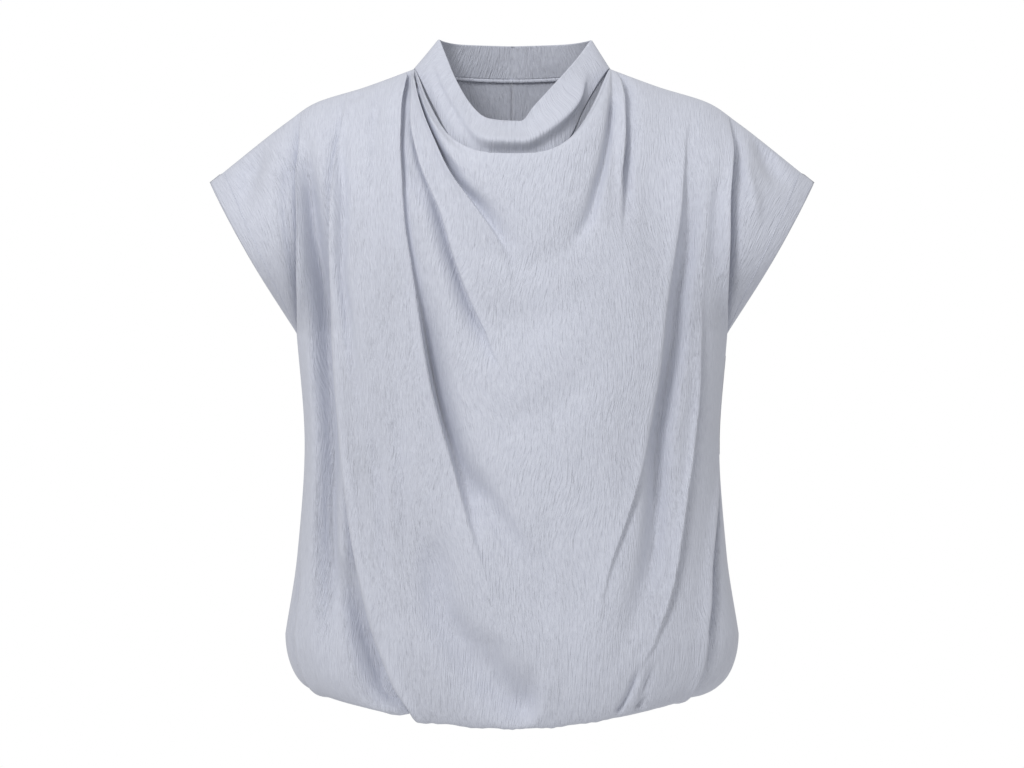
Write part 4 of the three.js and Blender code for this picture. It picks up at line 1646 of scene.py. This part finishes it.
@dataclass(frozen=True)
class Weave:
    """Plain weave of fine twisted threads, just seen close up, with scales in repeats a metre."""

    threads: float = 2600.0
    grain_scale: tuple[float, float] = (1500.0, 1100.0)
    depth: float = 0.25

    def make(self) -> bpy.types.NodeTree:
        """Makes the shader group.

        Returns:
            The group, with the number of threads as an input.
        """
        sockets = (Socket("Cloth", "NodeSocketVector"), Socket("Threads", value=self.threads))
        group = ShaderGroup("crepe_weave", sockets, (Socket("Height"),))
        cloth = group.start.outputs["Cloth"]
        threads = group.start.outputs["Threads"]
        waves = [group.math("SINE", group.math("MULTIPLY", way, threads)) for way in group.split(cloth)]
        grain = group.noise(group.scaled(cloth, *self.grain_scale), 1.0)
        weave = group.math("MULTIPLY_ADD", group.math("MULTIPLY", *waves), self.depth, grain)
        group.join(weave, group.end.inputs["Height"])
        return group.tree


@dataclass(frozen=True)
class Crepe:
    """The garment's crinkled crepe, its colour painted darker in the crinkle's low streaks as shade. Heights
    are in metres, and streaks in repeats a metre.
    """

    name: str
    shade: tuple[float, float, float] = (0.535, 0.555, 0.625)
    # Colour painted into the crinkle's low streaks as shade; the colour above is the one on its raised
    # streaks.
    painted_trough_shade: tuple[float, float, float] = (0.470, 0.488, 0.560)
    roughness: float = 0.78
    specular: float = 0.25
    sheen: float = 0.18
    sheen_roughness: float = 0.5
    crinkle_height: float = 0.0023
    weave_height: float = 0.00008
    streak_across: float = 1050.0
    streak_along: float = 100.0

    def make(self, crinkle: bpy.types.NodeTree, weave: bpy.types.NodeTree) -> bpy.types.Material:
        """Makes the material.

        Args:
            crinkle: the crinkle group.
            weave: the weave group.

        Returns:
            The finished material.
        """
        material = bpy.data.materials.new(self.name)
        material.use_nodes = True
        tree = material.node_tree
        shader = tree.nodes["Principled BSDF"]
        shader.inputs["Roughness"].default_value = self.roughness
        shader.inputs["Sheen Weight"].default_value = self.sheen
        shader.inputs["Sheen Roughness"].default_value = self.sheen_roughness
        shader.inputs["Specular IOR Level"].default_value = self.specular
        cloth = tree.nodes.new("ShaderNodeUVMap")
        cloth.uv_map = CLOTH_UV
        streaks = tree.nodes.new("ShaderNodeGroup")
        streaks.node_tree = crinkle
        streaks.inputs["Across"].default_value = self.streak_across
        streaks.inputs["Along"].default_value = self.streak_along
        threads = tree.nodes.new("ShaderNodeGroup")
        threads.node_tree = weave
        for pattern in (streaks, threads):
            tree.links.new(cloth.outputs[0], pattern.inputs["Cloth"])
        # Painted shade: the crinkle's low streaks get the darker colour, its raised streaks the lighter one.
        painted_shade_mix = tree.nodes.new("ShaderNodeMix")
        painted_shade_mix.data_type = "RGBA"
        painted_shade_mix.inputs["A"].default_value = (*self.painted_trough_shade, 1.0)
        painted_shade_mix.inputs["B"].default_value = (*self.shade, 1.0)
        tree.links.new(streaks.outputs["Painted Shade"], painted_shade_mix.inputs["Factor"])
        tree.links.new(painted_shade_mix.outputs["Result"], shader.inputs["Base Color"])
        fine = tree.nodes.new("ShaderNodeBump")
        fine.inputs["Distance"].default_value = self.weave_height
        tree.links.new(threads.outputs["Height"], fine.inputs["Height"])
        coarse = tree.nodes.new("ShaderNodeBump")
        coarse.inputs["Distance"].default_value = self.crinkle_height
        tree.links.new(streaks.outputs["Height"], coarse.inputs["Height"])
        tree.links.new(self.calm(tree), coarse.inputs["Strength"])
        tree.links.new(fine.outputs[0], coarse.inputs["Normal"])
        tree.links.new(coarse.outputs[0], shader.inputs["Normal"])
        return material

    def calm(self, tree: bpy.types.NodeTree) -> bpy.types.NodeSocket:
        """Calms the crinkle where the cloth turns away from view.

        Args:
            tree: the material's nodes.

        Returns:
            The strength of the crinkle, 1 where the cloth faces the view.
        """
        turned = tree.nodes.new("ShaderNodeLayerWeight")
        turned.inputs["Blend"].default_value = 0.5
        facing = tree.nodes.new("ShaderNodeMath")
        facing.operation = "SUBTRACT"
        facing.inputs[0].default_value = 1.0
        tree.links.new(turned.outputs["Facing"], facing.inputs[1])
        return facing.outputs[0]


@dataclass
class Garment:
    """The whole top: its cloth pieces, dressed and set on the frame."""

    form: BodyForm = field(default_factory=BodyForm)

    def build(self) -> list[bpy.types.Object]:
        """Returns:
            The finished pieces.
        """
        crinkle = Crinkle().make()
        weave = Weave().make()
        crepe = Crepe("crepe").make(crinkle, weave)
        band = Crepe("crepe_band").make(crinkle, weave)
        front_drape = Drape(self.form, Side.FRONT, FRONT_PLEATS, FRONT_FOLDS)
        back_drape = Drape(self.form, Side.BACK, (), BACK_FOLDS)
        pieces = []
        for panel, node, slot, finish in (
            (FrontPanel(front_drape), "front", "crepe", crepe),
            (BackPanel(back_drape, hand=Hand.LEFT), "back_left", "crepe", crepe),
            (BackPanel(back_drape, hand=Hand.RIGHT), "back_right", "crepe", crepe),
            (CollarBand(self.form), "collar", "crepe_band", band),
        ):
            piece = panel.build()
            piece.data.materials.append(finish)
            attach(piece, ROOT_BODY)
            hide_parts(node)
            LOG.info("%s: %d faces", piece.name, len(piece.data.polygons))
            pieces.append(piece)
        return pieces


@dataclass(frozen=True)
class SoftLight:
    """A square studio light that looks at a point of the garment."""

    name: str
    place: tuple[float, float, float]
    size: float
    power: float
    target: tuple[float, float, float] = (0.0, 0.0, -0.3)

    def build(self) -> bpy.types.Object:
        """Makes the light and turns it to its target.

        Returns:
            The light.
        """
        data = bpy.data.lights.new(self.name, "AREA")
        data.size = self.size
        data.energy = self.power
        light = bpy.data.objects.new(self.name, data)
        light.location = self.place
        bpy.context.scene.collection.objects.link(light)
        aim = [t - p for t, p in zip(self.target, self.place)]
        distance = math.hypot(*aim)
        light.rotation_euler = (math.acos(-aim[2] / distance), 0.0, math.atan2(aim[1], aim[0]) - math.pi / 2)
        return light


@dataclass(frozen=True)
class Studio:
    """A pale floor, a white surround, soft lights and the camera of the photograph."""

    camera_distance: float = 2.6
    camera_height: float = -0.312
    view_width: float = 1.024
    sensor: float = 36.0
    floor_height: float = -1.4
    floor_reach: float = 7.0
    floor_shade: tuple[float, float, float] = (0.86, 0.86, 0.87)
    floor_roughness: float = 0.9
    surround: float = 0.6
    lights: tuple[SoftLight, ...] = (
        SoftLight("key", (-1.1, -2.3, 1.2), 0.7, 40.0),
        SoftLight("fill", (1.3, -2.6, 0.3), 1.0, 7.0),
        SoftLight("top", (0.0, -0.9, 0.7), 0.3, 2.0, (0.0, 0.06, -0.08)),
    )

    def build(self) -> None:
        """Builds the surroundings, the lights and the camera."""
        self.make_floor()
        self.make_surround()
        for light in self.lights:
            light.build()
        self.make_camera()
        bpy.context.scene.view_settings.view_transform = "Standard"

    def make_camera(self) -> None:
        """Makes the camera at the photograph's view and looks through it."""
        data = bpy.data.cameras.new("camera")
        data.sensor_width = self.sensor
        data.lens = self.sensor * self.camera_distance / self.view_width
        camera = bpy.data.objects.new("camera", data)
        camera.location = (0.0, -self.camera_distance, self.camera_height)
        camera.rotation_euler = (math.pi / 2, 0.0, 0.0)
        bpy.context.scene.collection.objects.link(camera)
        bpy.context.scene.camera = camera

    def make_floor(self) -> None:
        """Makes the floor below the garment."""
        bpy.ops.mesh.primitive_plane_add(size=self.floor_reach, location=(0, 0, self.floor_height))
        floor = bpy.context.object
        floor.name = "floor"
        material = bpy.data.materials.new("pale_floor")
        material.use_nodes = True
        shader = material.node_tree.nodes["Principled BSDF"]
        shader.inputs["Base Color"].default_value = (*self.floor_shade, 1.0)
        shader.inputs["Roughness"].default_value = self.floor_roughness
        floor.data.materials.append(material)

    def make_surround(self) -> None:
        """Makes a surround that looks white and lights the garment softly."""
        world = bpy.data.worlds.new("surround")
        bpy.context.scene.world = world
        world.use_nodes = True
        tree = world.node_tree
        background = tree.nodes["Background"]
        background.inputs["Color"].default_value = (1.0, 1.0, 1.0, 1.0)
        seen = tree.nodes.new("ShaderNodeLightPath")
        strength = tree.nodes.new("ShaderNodeMix")
        strength.inputs["A"].default_value = self.surround
        strength.inputs["B"].default_value = 1.0
        tree.links.new(seen.outputs["Is Camera Ray"], strength.inputs["Factor"])
        tree.links.new(strength.outputs["Result"], background.inputs["Strength"])


def main() -> None:
    """Builds the garment around its frame, and the studio."""
    logging.basicConfig(level=logging.INFO, format="%(name)s: %(message)s")
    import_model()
    bpy.ops.object.select_all(action="DESELECT")
    Studio().build()
    Garment().build()


if __name__ == "__main__":
    main()
